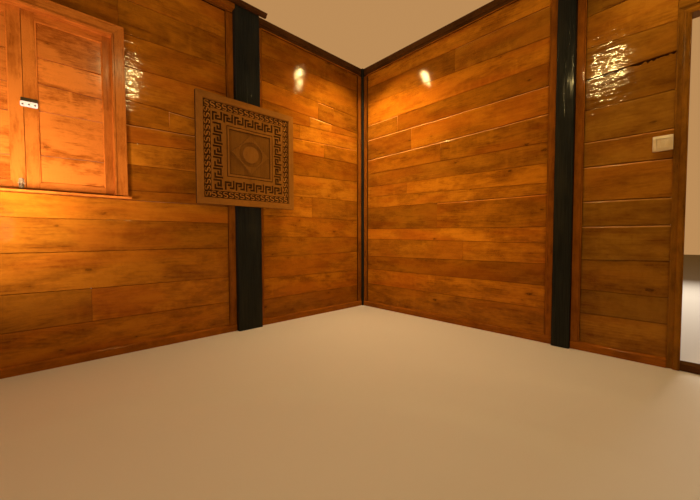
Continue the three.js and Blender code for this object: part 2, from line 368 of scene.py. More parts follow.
def lay_grain(piece, along, tone=0.0, age=0.0, middle=None, seed=None, worn=None, rubbed_and_lit=1.0):
    """Stores where each point lies in the timber's own directions, for its finish to follow.
    Points in the worn mask get a tone above 1, which is a worn edge painted pale, as wear and as a
    painted highlight."""
    order = {"X": (0, 2, 1), "Z": (2, 0, 1)}[along]
    points = points_of(piece)
    if middle is None:
        middle = (points.min(0) + points.max(0)) / 2
    grain = (points - np.array(middle, np.float32))[:, order]
    if seed is None:
        seed = random.Random(piece.name).random()
    timber = np.tile(np.array((seed, tone, age), np.float32), (len(points), 1))
    if worn is not None:
        timber[worn, 1] = 1.0 + (WORN_LIT_TONE - 1.0) * rubbed_and_lit
    for name, values in (("grain", grain), ("timber", timber)):
        layer = piece.data.attributes.new(name, "FLOAT_VECTOR", "POINT")
        layer.data.foreach_set("vector", np.ascontiguousarray(values, np.float32).ravel())


def hand_over(piece, wall, finish, slot, *nodes):
    """Turns a finished piece onto its wall, gives it its finish and its body, and hides the frame
    nodes that it stands for.
    """
    if wall == DOOR_WALL:
        piece.data.transform(SWAP_WALLS)
        piece.data.flip_normals()
    piece.data.materials.clear()
    piece.data.materials.append(finish)
    make_active(piece)
    bpy.ops.object.shade_smooth_by_angle(angle=math.radians(35))
    flat = piece.modifiers.new("flat_faces", "WEIGHTED_NORMAL")
    flat.keep_sharp = True
    bpy.ops.object.modifier_apply(modifier=flat.name)
    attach(piece, "root")
    if nodes:
        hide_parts(*nodes)


# Finishes

class Graph:
    """The nodes of one finish."""

    def __init__(self, name):
        self.material = bpy.data.materials.new(name)
        self.material.use_nodes = True
        self.tree = self.material.node_tree
        self.tree.nodes.clear()

    def feed(self, socket, value):
        if isinstance(value, bpy.types.NodeSocket):
            self.tree.links.new(value, socket)
        else:
            socket.default_value = value

    def add(self, kind, feeds=None, **settings):
        node = self.tree.nodes.new("ShaderNode" + kind)
        for name, value in settings.items():
            setattr(node, name, value)
        for name, value in (feeds or {}).items():
            self.feed(node.inputs[name], value)
        return node

    def operate(self, kind, operation, values):
        node = self.add(kind, operation=operation)
        for socket, value in zip(node.inputs, values):
            self.feed(socket, value)
        return node.outputs

    def maths(self, operation, *values):
        return self.operate("Math", operation, values)[0]

    def vector(self, operation, *values):
        outputs = self.operate("VectorMath", operation, values)
        return outputs["Value" if operation == "LENGTH" else "Vector"]

    def plus(self, total, value, share):
        """A total with a share of a value added."""
        return self.maths("MULTIPLY_ADD", value, share, total)

    def attribute(self, name):
        return self.add("Attribute", attribute_name=name).outputs["Vector"]

    def channels(self, colour):
        return self.add("SeparateColor", {"Color": colour}).outputs

    def noise(self, place, scales, detail=2.0, roughness=0.5):
        """A noise's outputs. Its scales are for the three axes, or along the grain and across."""
        scaled = self.vector("MULTIPLY", place, (*scales, scales[-1])[:3])
        feeds = {"Vector": scaled, "Scale": 1.0, "Detail": detail, "Roughness": roughness}
        return self.add("TexNoise", feeds).outputs

    def cloud(self, *noise):
        return self.noise(*noise)["Fac"]

    def steps(self, value, low, high, to_low=0.0, to_high=1.0):
        feeds = {
            "Value": value, "From Min": low, "From Max": high, "To Min": to_low, "To Max": to_high
        }
        return self.add("MapRange", feeds, interpolation_type="SMOOTHSTEP").outputs["Result"]

    def mix(self, amount, first, second):
        node = self.add("Mix", data_type="RGBA")
        for socket, value in ((0, amount), (6, first), (7, second)):
            self.feed(node.inputs[socket], value)
        return node.outputs[2]

    def bump(self, height, distance=1.0):
        feeds = {"Height": height, "Distance": distance, "Strength": 1.0}
        return self.add("Bump", feeds).outputs["Normal"]

    def surface(self, feeds):
        shader = self.add("BsdfPrincipled", feeds)
        output = self.add("OutputMaterial")
        self.tree.links.new(shader.outputs[0], output.inputs["Surface"])
        return self.material

    def varnished(self, colour, roughness, height, coat, coat_rough):
        """Dull timber under varnish, which carries all the gloss."""
        bump = self.bump(height)
        return self.surface({
            "Base Color": colour,
            "Roughness": roughness,
            "Specular IOR Level": 0.0,
            "Normal": bump,
            "Coat Weight": coat,
            "Coat Roughness": coat_rough,
            "Coat IOR": 1.3,
            "Coat Normal": bump,
        })


def opaque(rgb):
    return (*rgb, 1.0)


def dimmed(rgb, *shares):
    """A colour with its parts multiplied, by one number or by three."""
    return opaque(part * share for part, share in zip(rgb, (shares * 3)[:3]))


# How much each layer of the grain darkens the wood
STAIN_SHARE, STREAK_SHARE, FIBRE_SHARE, LINE_SHARE, MOTTLE_SHARE = 0.64, 0.13, 0.18, 0.22, 0.44

# Heights of the planed ripples, the finer ones and the open fibres
HEWN_HEIGHT, FINE_HEIGHT, FIBRE_HEIGHT = 0.0015, 0.00035, 0.00003

RINGS_PER_METRE = 75.0


def timber_finish(
    name, light, dark, red=None, old=None, worn=None, knots=0.0, coat=0.4, coat_rough=0.08,
    rough=0.5, ripple=1.0, contrast=1.0, dust_and_shade=0.0,
):
    """Varnished timber: growth rings, stains, streaks, fibres, curl and knots, over ripples."""
    g = Graph(name)
    grain = g.attribute("grain")
    timber = g.add("SeparateXYZ", {"Vector": g.attribute("timber")}).outputs
    seed, tone, age = timber["X"], timber["Y"], timber["Z"]
    draw = g.add("TexWhiteNoise", {"W": seed}, noise_dimensions="1D").outputs["Color"]
    place = g.vector("MULTIPLY_ADD", draw, (37.0, 37.0, 37.0), grain)

    # Growth rings, about a heart that strays
    sway = g.noise(place, (0.65, 1.1), 1.0)["Color"]
    heart = g.vector("MULTIPLY_ADD", sway, (0.0, 0.30, 0.16), grain)
    heart = g.vector("MULTIPLY_ADD", draw, (0.0, 0.26, 0.05), heart)
    heart = g.vector("ADD", heart, (0.0, -0.28, -0.01))
    heart = g.vector("MULTIPLY", heart, (0.0, 1.0, 1.0))
    radius = g.plus(g.vector("LENGTH", heart), g.cloud(place, (1.6, 13.0), 3.0), 0.035)
    phase = g.maths("FRACT", g.maths("MULTIPLY", radius, RINGS_PER_METRE))
    ring = g.maths("MULTIPLY", g.steps(phase, 0.2, 0.86), g.steps(phase, 1.0, 0.86))

    # Stains, streaks, fibres and curl
    patch = g.noise(place, (1.5, 5.5), 2.0)
    patches = g.channels(patch["Color"])
    stain = g.steps(g.cloud(place, (3.4, 9.0), 5.0, 0.68), 0.36, 0.66)
    streak = g.steps(g.cloud(place, (1.3, 30.0), 4.0, 0.6), 0.42, 0.70)
    fibre = g.cloud(place, (5.0, 230.0), 3.0, 0.65)
    line = g.steps(g.cloud(place, (5.5, 66.0), 3.0, 0.6), 0.57, 0.68)
    mottle = g.cloud(place, (26.0, 42.0), 3.0, 0.6)
    curl = g.steps(g.cloud(place, (17.0, 4.0), 3.0), 0.5, 0.74)
    curl = g.maths("MULTIPLY", curl, g.steps(patches["Blue"], 0.48, 0.62, 0.0, 0.34))
    shade = g.maths("MULTIPLY", ring, g.steps(patch["Fac"], 0.35, 0.7, 0.02, 0.20))
    for layer, share in (
        (stain, STAIN_SHARE), (streak, STREAK_SHARE), (fibre, FIBRE_SHARE), (line, LINE_SHARE),
        (mottle, MOTTLE_SHARE),
    ):
        shade = g.plus(shade, layer, share)
    shade = g.maths("SUBTRACT", shade, curl)
    shade = g.maths("MULTIPLY_ADD", shade, contrast, 0.42 - 0.79 * contrast)
    pale = g.mix(age, opaque(light), opaque(old)) if old else opaque(light)
    colour = g.mix(shade, pale, opaque(dark))
    if red:
        fresh = g.maths("MULTIPLY_ADD", age, -0.9, 1.0)
        blush = g.maths("MULTIPLY", g.steps(patches["Green"], 0.44, 0.66, 0.0, 0.5), fresh)
        colour = g.mix(blush, colour, opaque(red))
    if knots:
        cells = g.vector("MULTIPLY", place, (2.6, 5.6, 1.0))
        cell = g.add("TexVoronoi", {"Vector": cells, "Scale": 1.0}, voronoi_dimensions="2D").outputs
        chance = g.channels(cell["Color"])
        ragged = g.plus(cell["Distance"], g.cloud(place, (30.0, 60.0), 3.0, 0.6), 0.12)
        ragged = g.plus(ragged, chance["Green"], 0.05)
        there = g.steps(chance["Red"], 0.60, 0.64)
        for reach, amount, wood in (
            (0.24, 0.42 * knots, opaque(dark)), (0.13, knots, dimmed(dark, 0.30)),
        ):
            knot = g.maths("MULTIPLY", g.steps(ragged, 0.09, reach, amount, 0.0), there)
            colour = g.mix(knot, colour, wood)
    # Upper edges painted pale: wear, and a painted highlight of the light that catches them
    if worn:
        rubbed_and_lit = g.steps(g.cloud(place, (3.0, 1.0), 3.0), 0.32, 0.6, 0.25, 0.95)
        rubbed_and_lit = g.maths("MULTIPLY", rubbed_and_lit, g.steps(tone, 1.0, 0.8 * WORN_LIT_TONE))
        rubbed_and_lit = g.maths("MULTIPLY", rubbed_and_lit, g.maths("MULTIPLY_ADD", age, -0.6, 1.0))
        colour = g.mix(rubbed_and_lit, colour, opaque(worn))
    lift = g.maths("MULTIPLY_ADD", g.maths("MINIMUM", tone, 1.0), 0.36, 1.0)
    # Painted shade in the recesses, with dust: the wood darkens with depth into the carving
    if dust_and_shade:
        depth = g.add("SeparateXYZ", {"Vector": grain}).outputs["Z"]
        lift = g.maths("MULTIPLY", lift, g.steps(depth, -0.0088, -0.0035, 1.0, 1.0 - dust_and_shade))
    colour = g.vector("SCALE", colour)
    g.feed(colour.node.inputs["Scale"], lift)

    height = g.maths("MULTIPLY", g.cloud(place, (8.0, 26.0)), HEWN_HEIGHT * ripple)
    height = g.plus(height, g.cloud(place, (20.0, 75.0)), FINE_HEIGHT * ripple)
    height = g.plus(height, fibre, FIBRE_HEIGHT)
    roughness = g.steps(shade, 0.0, 1.0, rough, rough + 0.12)
    return g.varnished(colour, roughness, height, coat, coat_rough)


def post_finish(rgb):
    """Black-stained hewn timber, polished by hands."""
    g = Graph("black_post_timber")
    grain = g.attribute("grain")
    fibre = g.cloud(grain, (4.0, 190.0), 3.0, 0.65)
    worn = g.steps(g.cloud(grain, (2.0, 9.0), 4.0, 0.6), 0.45, 0.75)
    colour = g.mix(g.steps(fibre, 0.3, 0.7), opaque(rgb), dimmed(rgb, 1.9))
    colour = g.mix(g.maths("MULTIPLY", worn, 0.45), colour, dimmed(rgb, 3.2, 2.6, 1.8))
    height = g.maths("MULTIPLY", g.cloud(grain, (7.0, 26.0)), 0.0012)
    check = g.cloud(grain, (1.4, 60.0), 3.0)
    height = g.plus(height, g.steps(check, 0.60, 0.68, 0.0, -1.0), 0.0007)
    height = g.plus(height, fibre, 0.00012)
    return g.varnished(colour, g.steps(worn, 0.0, 1.0, 0.42, 0.55), height, 0.3, 0.14)


def metal_finish(name, rgb, stain, rough, metallic):
    """Old metal, stained in the hollows of a fine noise."""
    g = Graph(name)
    place = g.add("TexCoord").outputs["Object"]
    cloud = g.steps(g.cloud(place, (170.0, 170.0), 4.0, 0.6), 0.35, 0.7)
    return g.surface({
        "Base Color": g.mix(cloud, opaque(rgb), opaque(stain)),
        "Metallic": metallic,
        "Roughness": g.steps(cloud, 0.0, 1.0, rough, rough + 0.22),
        "Normal": g.bump(g.cloud(place, (900.0, 900.0, 120.0)), 0.00012),
    })


def plastic_finish(name, rgb):
    """Cream plastic, a little yellowed."""
    g = Graph(name)
    place = g.add("TexCoord").outputs["Object"]
    age = g.steps(g.cloud(place, (28.0, 28.0), 3.0), 0.3, 0.75)
    return g.surface({
        "Base Color": g.mix(age, opaque(rgb), dimmed(rgb, 0.93, 0.86, 0.72)),
        "Roughness": g.steps(age, 0.0, 1.0, 0.33, 0.42),
        "Normal": g.bump(g.cloud(place, (1400.0, 1400.0), 1.0), 0.00006),
    })


# Each timber's colours, and the options of its finish
TIMBERS = {
    "varnished_boards": (
        # The last colour paints the boards' upper edges pale: wear and a painted highlight
        ("board_light", "board_dark", "board_red", "board_old", "board_worn_lit_edge"),
        {"knots": 0.65, "ripple": 1.8},
    ),
    "planed_frame_timber": (("frame_light", "frame_dark"), {"ripple": 0.6, "coat": 0.25}),
    "aged_doorway_timber": (
        ("doorway_light", "doorway_dark"),
        {"ripple": 0.6, "contrast": 1.2, "coat": 0.2, "coat_rough": 0.16},
    ),
    "dark_rail_timber": (("rail_light", "rail_dark"), {"ripple": 0.6, "coat": 0.2}),
    "planed_window_timber": (
        ("shutter_light", "shutter_dark"),
        {"ripple": 0.8, "contrast": 1.4, "coat": 0.10, "coat_rough": 0.20},
    ),
    "shutter_boards": (
        ("shutter_light", "shutter_dark"),
        {"knots": 0.8, "ripple": 0.8, "contrast": 2.3, "coat": 0.25, "coat_rough": 0.22},
    ),
    # The carving darkens with depth: painted shade in its recesses, with dust
    "carved_relief_timber": (
        ("carving_light", "carving_dark"),
        {"ripple": 0.25, "contrast": 0.6, "coat": 0.08, "coat_rough": 0.35, "rough": 0.55,
         "dust_and_shade": 0.70},
    ),
}

# Each metal's colour, its stain, its roughness and how metallic it is
METALS = {
    "dark_iron": ((0.055, 0.050, 0.045), (0.09, 0.045, 0.020), 0.45, 1.0),
    "pale_metal": ((0.95, 0.90, 0.70), (0.80, 0.66, 0.42), 0.3, 0.05),
    "old_brass": ((0.60, 0.43, 0.18), (0.07, 0.035, 0.010), 0.3, 0.1),
}


def finish_of(name):
    """The finish of a timber or a metal, made when it is first asked for."""
    made = bpy.data.materials.get(name)
    if made:
        return made
    if name in METALS:
        return metal_finish(name, *METALS[name])
    colours, options = TIMBERS[name]
    settings = bpy.context.scene.wall_colours
    return timber_finish(name, *(getattr(settings, colour) for colour in colours), **options)


# Boards

def trim(board, ends, seam, gap, keep):
    """Saws a board a gap away from a seam, which is a pair of heights, at the low and the high
    end; keep names the side that stays."""
    rise = Vector((ends[1] - ends[0], 0, seam[1] - seam[0]))
    normal = Vector((-rise.z, 0, rise.x)).normalized()
    apart = gap if keep == "front" else -gap
    cut(board, Vector((ends[0], 0, seam[0])) + normal * apart, normal, keep)


def saw_board(name, ends, below, above, worn, age, dice, split=False):
    """One board between two seams. Worn is how much of its upper edge is painted pale, as wear and
    as a painted highlight, from 0 to 1; a split edge is open and ragged."""
    sizes = bpy.context.scene.wall_sizes
    start, end = ends
    gap = sizes.board_gap / 2
    proud = 0.004 if worn else dice.uniform(0.0, 0.0012)
    lean = math.radians(dice.uniform(0.35, 0.6) if worn else dice.uniform(-0.1, 0.22))
    low = Vector((start + 0.0003, 0.002 - proud, min(below) - 0.01))
    high = Vector((end - 0.0003, BOARD_BACK - 0.001, max(above) + 0.01))
    board = start_box(name, low, high, lean)
    trim(board, ends, below, gap, "front")
    trim(board, ends, above, SPLIT_GAP if split else gap, "back")
    middle = (sum(below) + sum(above)) / 4
    if worn:
        def upper_front(edge):
            return edge_along("x", 0.05)(edge) and all(
                end.co.z > middle and end.co.y < BOARD_BACK / 2 for end in edge.verts
            )
        round_edges(board, upper_front, sizes.worn_rounding, 3, shape=0.4)
    soften(board, sizes.board_rounding)
    rings = max(1, int((end - start) / (0.008 if split else 0.06)))
    add_rings(board, "x", rings, shortest=(end - start) / 2)
    if split:
        edge = board.vertex_groups.new(name="edge")
        upper = [at for at, point in enumerate(points_of(board)) if point[2] > middle]
        edge.add(upper, 1.0, "REPLACE")
        wander(board, "Z", 0.045, 0.018, "edge")
        board.vertex_groups.clear()
    tone, aged = dice.uniform(-0.85, 0.7), dice.uniform(*age)
    mask = None
    # The rubbed upper edge gets a tone above 1: painted pale, as wear and as a painted highlight
    if worn:
        points = points_of(board)
        front = points[points[:, 2] > middle, 1].min()
        deep = points[:, 1] - front
        mask = (points[:, 2] > middle) & (deep > 0.0010) & (deep < sizes.worn_rounding - 0.0010)
    lay_grain(board, "X", tone=tone, age=aged, worn=mask, rubbed_and_lit=worn)
    return board


def saw_tongue(name, ends, seam, split=False):
    """The tongue inside a joint, which closes the gap between two boards. Its wood is toned dark as
    painted shade, the darkest in a split.
    """
    low = (ends[0] + 0.004, 0.012, min(seam) - (0.035 if split else 0.010))
    high = (ends[1] - 0.004, 0.019, max(seam) + 0.010)
    tongue = start_box(name, low, high)
    add_rings(tongue, "x", max(1, int((ends[1] - ends[0]) / 0.06)))
    # Painted shade: the tongue is toned dark, and darker still behind a split
    lay_grain(tongue, "X", tone=-2.5 if split else -1.5)
    return tongue


def lay_boards(name, ends, seams, joints=(), worn=(), age=(0.0, 0.3), splits=()):
    """A bay of boards. Seams go from the bottom up; joints are (course, place) pairs; worn gives
    the seams whose lower board stands proud, with its upper edge painted pale as wear and as a
    painted highlight, as (seam, from, to, how pale)."""
    dice = random.Random(name)
    boards = []

    def height(seam, place):
        share = (place - ends[0]) / (ends[1] - ends[0])
        return seam[0] + (seam[1] - seam[0]) * share

    for course, (below, above) in enumerate(zip(seams, seams[1:])):
        cuts = sorted(place for at, place in joints if at == course and ends[0] < place < ends[1])
        split = course + 1 in splits
        for start, end in zip([ends[0], *cuts], [*cuts, ends[1]]):
            lower = (height(below, start), height(below, end))
            upper = (height(above, start), height(above, end))
            rubbed_and_lit = max((
                share for seam, low, high, share in worn
                if seam == course + 1 and low <= (start + end) / 2 <= high
            ), default=0.0)
            board_name = f"{name}_{len(boards):02d}"
            board = saw_board(board_name, (start, end), lower, upper, rubbed_and_lit, age, dice, split)
            boards.append(board)
            if above != seams[-1]:
                boards.append(saw_tongue(f"{board_name}_tongue", (start, end), upper, split))
    return boards


ALL_ALONG = (-9.0, 9.0)

# From how much to how much the boards by the doorway have aged
AGED = (0.6, 1.0)

WINDOW_BAY_SEAMS = [
    (0.043, 0.043), (0.235, 0.240), (0.452, 0.440), (0.668, 0.678), (0.868, 0.872), (1.006, 1.006),
]
BESIDE_WINDOW_SEAMS = [
    (1.068, 1.089), (1.238, 1.250), (1.380, 1.415), (1.500, 1.517), (1.660, 1.624), (1.870, 1.884),
    (2.074, 2.102),
]
OVER_WINDOW_SEAMS = [(2.076, 2.076), (2.292, 2.318), (2.532, 2.532)]
CORNER_BAY_SEAMS = [
    (0.043, 0.043), (0.220, 0.228), (0.405, 0.396), (0.590, 0.602), (0.765, 0.760), (0.952, 0.948),
    (1.140, 1.152), (1.325, 1.372), (1.546, 1.561), (1.668, 1.712), (1.800, 1.842), (1.938, 1.893),
    (2.099, 2.066), (2.318, 2.346), (2.524, 2.524),
]
DOOR_WALL_SEAMS = [
    (0.043, 0.043), (0.240, 0.252), (0.408, 0.414), (0.566, 0.556), (0.715, 0.743), (0.831, 0.852),
    (1.063, 1.078), (1.142, 1.205), (1.282, 1.311), (1.430, 1.452), (1.627, 1.604), (1.822, 1.818),
    (1.982, 1.976), (2.159, 2.206), (2.372, 2.380), (2.524, 2.524),
]
OVER_DOORWAY_SEAMS = [(2.025, 2.025), (2.205, 2.196), (2.386, 2.392), (2.524, 2.524)]
SWITCH_BAY_SEAMS = [
    (0.043, 0.043), (0.250, 0.250), (0.404, 0.409), (0.616, 0.606), (0.826, 0.828), (0.983, 0.993),
    (1.205, 1.217), (1.374, 1.378), (1.588, 1.583), (1.802, 1.782), (1.969, 1.983), (2.200, 2.184),
    (2.392, 2.398), (2.524, 2.524),
]


class WALL_OT_boards(bpy.types.Operator):
    """Lay the horizontal boards of every bay"""
    bl_idname = "plank_wall.boards"
    bl_label = "Boards"

    def execute(self, context):
        self.window_bay()
        self.bay(
            "window_wall_corner_boards", WINDOW_WALL, ["window_wall_corner_bay_boards"],
            CORNER_BAY_SEAMS,
            joints=[
                (8, -0.55), (9, -0.84), (10, -0.72), (10, -0.45), (11, -0.62), (11, -0.42),
                (5, -0.7),
            ],
            worn=[(9, *ALL_ALONG, 0.25), (11, -0.72, -0.45, 1.0), (12, -0.62, -0.42, 0.45)],
        )
        self.bay(
            "door_wall_corner_boards", DOOR_WALL, ["door_wall_corner_bay_boards"], DOOR_WALL_SEAMS,
            joints=[
                (5, -0.947), (7, -0.605), (10, -0.66), (11, -0.49), (9, -0.975), (3, -1.2),
                (13, -1.11),
            ],
            worn=[
                (10, *ALL_ALONG, 1.0), (11, *ALL_ALONG, 0.85), (12, -0.49, 0.0, 0.9),
                (6, -1.9, -0.9, 0.2), (14, -1.9, -1.1, 0.4),
            ],
        )
        self.bay(
            "switch_boards", DOOR_WALL, ["door_bay_boards_beside"], SWITCH_BAY_SEAMS,
            worn=[
                (4, *ALL_ALONG, 0.7), (5, *ALL_ALONG, 0.5), (6, *ALL_ALONG, 0.5),
                (7, *ALL_ALONG, 0.35),
            ],
            age=AGED, splits=(9,),
        )
        self.bay(
            "door_head_boards", DOOR_WALL, ["door_bay_boards_over"],
            OVER_DOORWAY_SEAMS, age=AGED,
        )
        return {"FINISHED"}

    def window_bay(self):
        """The boards go on behind the casings, so this bay is one piece around the window."""
        right_low, right_high = node_span("window_bay_boards_right", WINDOW_WALL)
        left_low, left_high = node_span("window_bay_boards_left", WINDOW_WALL)
        opening = (left_high.x, right_low.x)
        whole = (left_low.x, right_high.x)
        boards = lay_boards("under_window", whole, WINDOW_BAY_SEAMS, joints=[(1, -2.4), (3, -2.9)])
        mirrored = [(high, low) for low, high in BESIDE_WINDOW_SEAMS]
        for name, ends, seams in (
            ("beside_window_right", (right_low.x, right_high.x), BESIDE_WINDOW_SEAMS),
            ("beside_window_left", (left_low.x, left_high.x), mirrored),
        ):
            seams = [(1.006, 1.006), *seams]
            boards += lay_boards(
                name, ends, seams, joints=[(4, right_high.x - 0.42)],
                worn=[(4, *ALL_ALONG, 1.0), (5, right_high.x - 0.42, right_high.x, 0.9)],
            )
        boards += lay_boards("over_window", opening, OVER_WINDOW_SEAMS)
        for name, ends, lowest in (
            ("over_right", (right_low.x, right_high.x), BESIDE_WINDOW_SEAMS[-1]),
            ("over_left", (left_low.x, left_high.x), mirrored[-1]),
        ):
            boards += lay_boards(name, ends, [lowest, *OVER_WINDOW_SEAMS[1:]])
        self.finish(
            join("window_bay_boards", boards), WINDOW_WALL,
            [f"window_bay_boards_{part}" for part in ("right", "left", "over", "under")],
        )

    def bay(self, name, wall, nodes, seams, joints=(), worn=(), age=(0.0, 0.3), splits=()):
        low, high = node_span(nodes[0], wall)
        boards = lay_boards(name, (low.x, high.x), seams, joints, worn, age, splits=splits)
        self.finish(join(name, boards), wall, nodes)

    def finish(self, piece, wall, nodes):
        sizes = bpy.context.scene.wall_sizes
        wander(piece, "Z", sizes.seam_wander, 0.42)
        wander(piece, "Y", 0.0016, 0.25)
        hand_over(piece, wall, finish_of("varnished_boards"), "wall_boards", *nodes)


# Posts

class WALL_OT_posts(bpy.types.Operator):
    """Hew the black posts"""
    bl_idname = "plank_wall.posts"
    bl_label = "Posts"

    def execute(self, context):
        sizes = context.scene.wall_sizes
        finish = post_finish(context.scene.wall_colours.post)
        for node, wall in (
            ("corner_post", WINDOW_WALL),
            ("window_wall_post", WINDOW_WALL),
            ("window_wall_end_post", WINDOW_WALL),
            ("door_wall_post", DOOR_WALL),
            ("door_wall_end_post", DOOR_WALL),
        ):
            low, high = node_span(node, wall)
            margin = Vector((sizes.hewing / 4, sizes.hewing / 4, 0))
            post = start_box(f"hewn_{node}", low + margin, high - margin)
            round_edges(post, edge_along("z"), 0.006, 2)
            soften(post, 0.002, 1)
            add_rings(post, "z", 90, shortest=1.0)
            for axis, wide in (("x", high.x - low.x), ("y", high.y - low.y)):
                add_rings(post, axis, int(wide / 0.03), shortest=wide / 2)
            wander(post, "X", sizes.hewing, 0.11)
            wander(post, "Y", sizes.hewing, 0.09)
            lay_grain(post, "Z")
            hand_over(post, wall, finish, "black_post", node)
        return {"FINISHED"}


# Frames of the bays

def groove(piece, face_direction):
    """Sinks the groove that holds the boards into the face that looks towards them."""
    cut_across(piece, "y", 0.0, BOARD_BACK)
    direction = Vector(face_direction)
    push(piece, face_towards(direction, y=(0.0, BOARD_BACK)), -direction * GROOVE_DEPTH)


def bead_strips(name, sides, opening, front, back, size):
    """Beads around an opening (left, right, bottom, top), mitred where two sides meet."""
    left, right, bottom, top = opening
    boxes = {
        "left": ((left - size, bottom), (left, top)),
        "right": ((right, bottom), (right + size, top)),
        "bottom": ((left, bottom - size), (right, bottom)),
        "top": ((left, top), (right, top + size)),
    }
    inner = {"left": left, "right": right, "bottom": bottom, "top": top}
    outer = {"left": left - size, "right": right + size, "bottom": bottom - size, "top": top + size}
    strips = []
    for side in sides:
        (x0, z0), (x1, z1) = boxes[side]
        upright = side in ("left", "right")
        ends = ("bottom", "top") if upright else ("left", "right")
        corners = [end for end in ends if end in sides]
        reach = [outer[end] if end in corners else inner[end] for end in ends]
        if upright:
            z0, z1 = reach
        else:
            x0, x1 = reach
        strip = start_box(f"{name}_{side}", (x0, front, z0), (x1, back, z1))
        for end in corners:
            if upright:
                mitre(strip, (inner[side], inner[end]), (outer[side], outer[end]))
            else:
                mitre(strip, (inner[end], inner[side]), (outer[end], outer[side]))
        place = {"x" if upright else "z": inner[side], "y": front}
        round_edges(strip, edge_at(**place), size * 0.6, 3)
        soften(strip, 0.0007, 1)
        lay_grain(strip, "Z" if upright else "X", tone=0.35)
        strips.append(strip)
    return strips


# Height of the plain foot of a top rail, and where the head beam's fascia starts
RAIL_FOOT = 0.034
FASCIA_FOOT = 2.540

# Where the boards start above the bottom rails, and where they end beyond the doorway
BOARDS_FOOT = 0.055
DOOR_BAY_END = -3.440


class WALL_OT_frames(bpy.types.Operator):
    """Fit the stiles, rails, beads and skirtings around the boards"""
    bl_idname = "plank_wall.frames"
    bl_label = "Frames of the bays"

    def execute(self, context):
        for node, wall, towards in (
            ("window_wall_corner_bay_stile_at_corner", WINDOW_WALL, -1),
            ("window_wall_corner_bay_stile_at_post", WINDOW_WALL, 1),
            ("window_bay_stile_at_post", WINDOW_WALL, -1),
            ("window_bay_stile_at_end", WINDOW_WALL, 1),
            ("door_wall_corner_bay_stile_at_corner", DOOR_WALL, -1),
            ("door_wall_corner_bay_stile_at_post", DOOR_WALL, 1),
            ("door_bay_stile", DOOR_WALL, -1),
        ):
            self.stile(node, wall, towards)
        for node, wall in (
            ("window_wall_corner_bay", WINDOW_WALL),
            ("window_bay", WINDOW_WALL),
            ("door_wall_corner_bay", DOOR_WALL),
            ("door_bay", DOOR_WALL),
        ):
            self.skirting(f"{node}_bottom_rail", wall)
            if node != "window_bay":
                self.top_rail(f"{node}_top_rail", wall)
        self.head_beam()
        self.beads()
        return {"FINISHED"}

    def seat_bead(self, piece, axis, edge, inwards, front=FRAME_FRONT):
        """Cuts the front back along the inner edge, for the bead to sit in."""
        size = bpy.context.scene.wall_sizes.bead
        near, far = edge, edge + inwards * (size + 0.0015)
        cut_across(piece, axis, far)
        push(piece, face_towards((0, -1, 0), **{axis: (near, far)}), (0, SEAT_BACK - front, 0))

    def stile(self, node, wall, towards):
        low, high = node_span(node, wall)
        stile = start_box(f"planed_{node}", low, high)
        groove(stile, (towards, 0, 0))
        self.seat_bead(stile, "x", high.x if towards > 0 else low.x, -towards)
        soften(stile, bpy.context.scene.wall_sizes.frame_rounding)
        add_rings(stile, "z", 24, shortest=1.0)
        wander(stile, "Y", 0.0016, 0.3)
        lay_grain(stile, "Z")
        hand_over(stile, wall, finish_of("planed_frame_timber"), "frame_timber", node)

    def skirting(self, node, wall):
        low, high = node_span(node, wall)
        board = start_box(f"moulded_{node}", low, high)
        round_edges(board, edge_at(y=low.y, z=high.z), 0.012, 4, shape=0.4)
        groove(board, (0, 0, 1))
        soften(board, 0.0012)
        lay_grain(board, "X", tone=0.2)
        hand_over(board, wall, finish_of("planed_frame_timber"), "frame_timber", node)

    def top_rail(self, node, wall):
        low, high = node_span(node, wall)
        step = 0.006
        rail = start_box(f"stepped_{node}", low + Vector((0, step, 0)), high)
        cut_across(rail, "z", low.z + RAIL_FOOT)
        upper = face_towards((0, -1, 0), z=(low.z + RAIL_FOOT, high.z))
        push(rail, upper, (0, -step, 0))
        groove(rail, (0, 0, -1))
        self.seat_bead(rail, "z", low.z, 1, low.y + step)
        soften(rail, 0.002)
        lay_grain(rail, "X")
        hand_over(rail, wall, finish_of("dark_rail_timber"), "dark_rail", node)

    def head_beam(self):
        node = "window_bay_head_beam"
        low, high = node_span(node, WINDOW_WALL)
        beam = start_box("head_beam", (low.x, FRAME_FRONT, low.z), high)
        cut_across(beam, "z", FASCIA_FOOT)
        fascia = face_towards((0, -1, 0), z=(FASCIA_FOOT, high.z))
        push(beam, fascia, (0, POST_FACE - FRAME_FRONT, 0))
        groove(beam, (0, 0, -1))
        self.seat_bead(beam, "z", low.z, 1)
        soften(beam, 0.002)
        lay_grain(beam, "X")
        hand_over(beam, WINDOW_WALL, finish_of("planed_frame_timber"), "frame_timber", node)

    def beads(self):
        size = bpy.context.scene.wall_sizes.bead
        for bay, wall, left, right in (
            ("window_bay", WINDOW_WALL, "stile_at_end", "stile_at_post"),
            ("window_wall_corner_bay", WINDOW_WALL, "stile_at_post", "stile_at_corner"),
            ("door_wall_corner_bay", DOOR_WALL, "stile_at_post", "stile_at_corner"),
            ("door_bay", DOOR_WALL, None, "stile"),
        ):
            sides = ["right", "top"]
            right_edge = node_span(f"{bay}_{right}", wall)[0].x
            left_edge, top = DOOR_BAY_END, node_span(f"{bay}_{right}", wall)[1].z
            if left:
                sides.append("left")
                left_edge = node_span(f"{bay}_{left}", wall)[1].x
            opening = (left_edge, right_edge, BOARDS_FOOT, top)
            strips = bead_strips(f"{bay}_bead", sides, opening, FRAME_FRONT + 0.001, 0.0, size)
            bead = join(f"{bay}_bead", strips)
            hand_over(bead, wall, finish_of("planed_frame_timber"), "frame_timber")


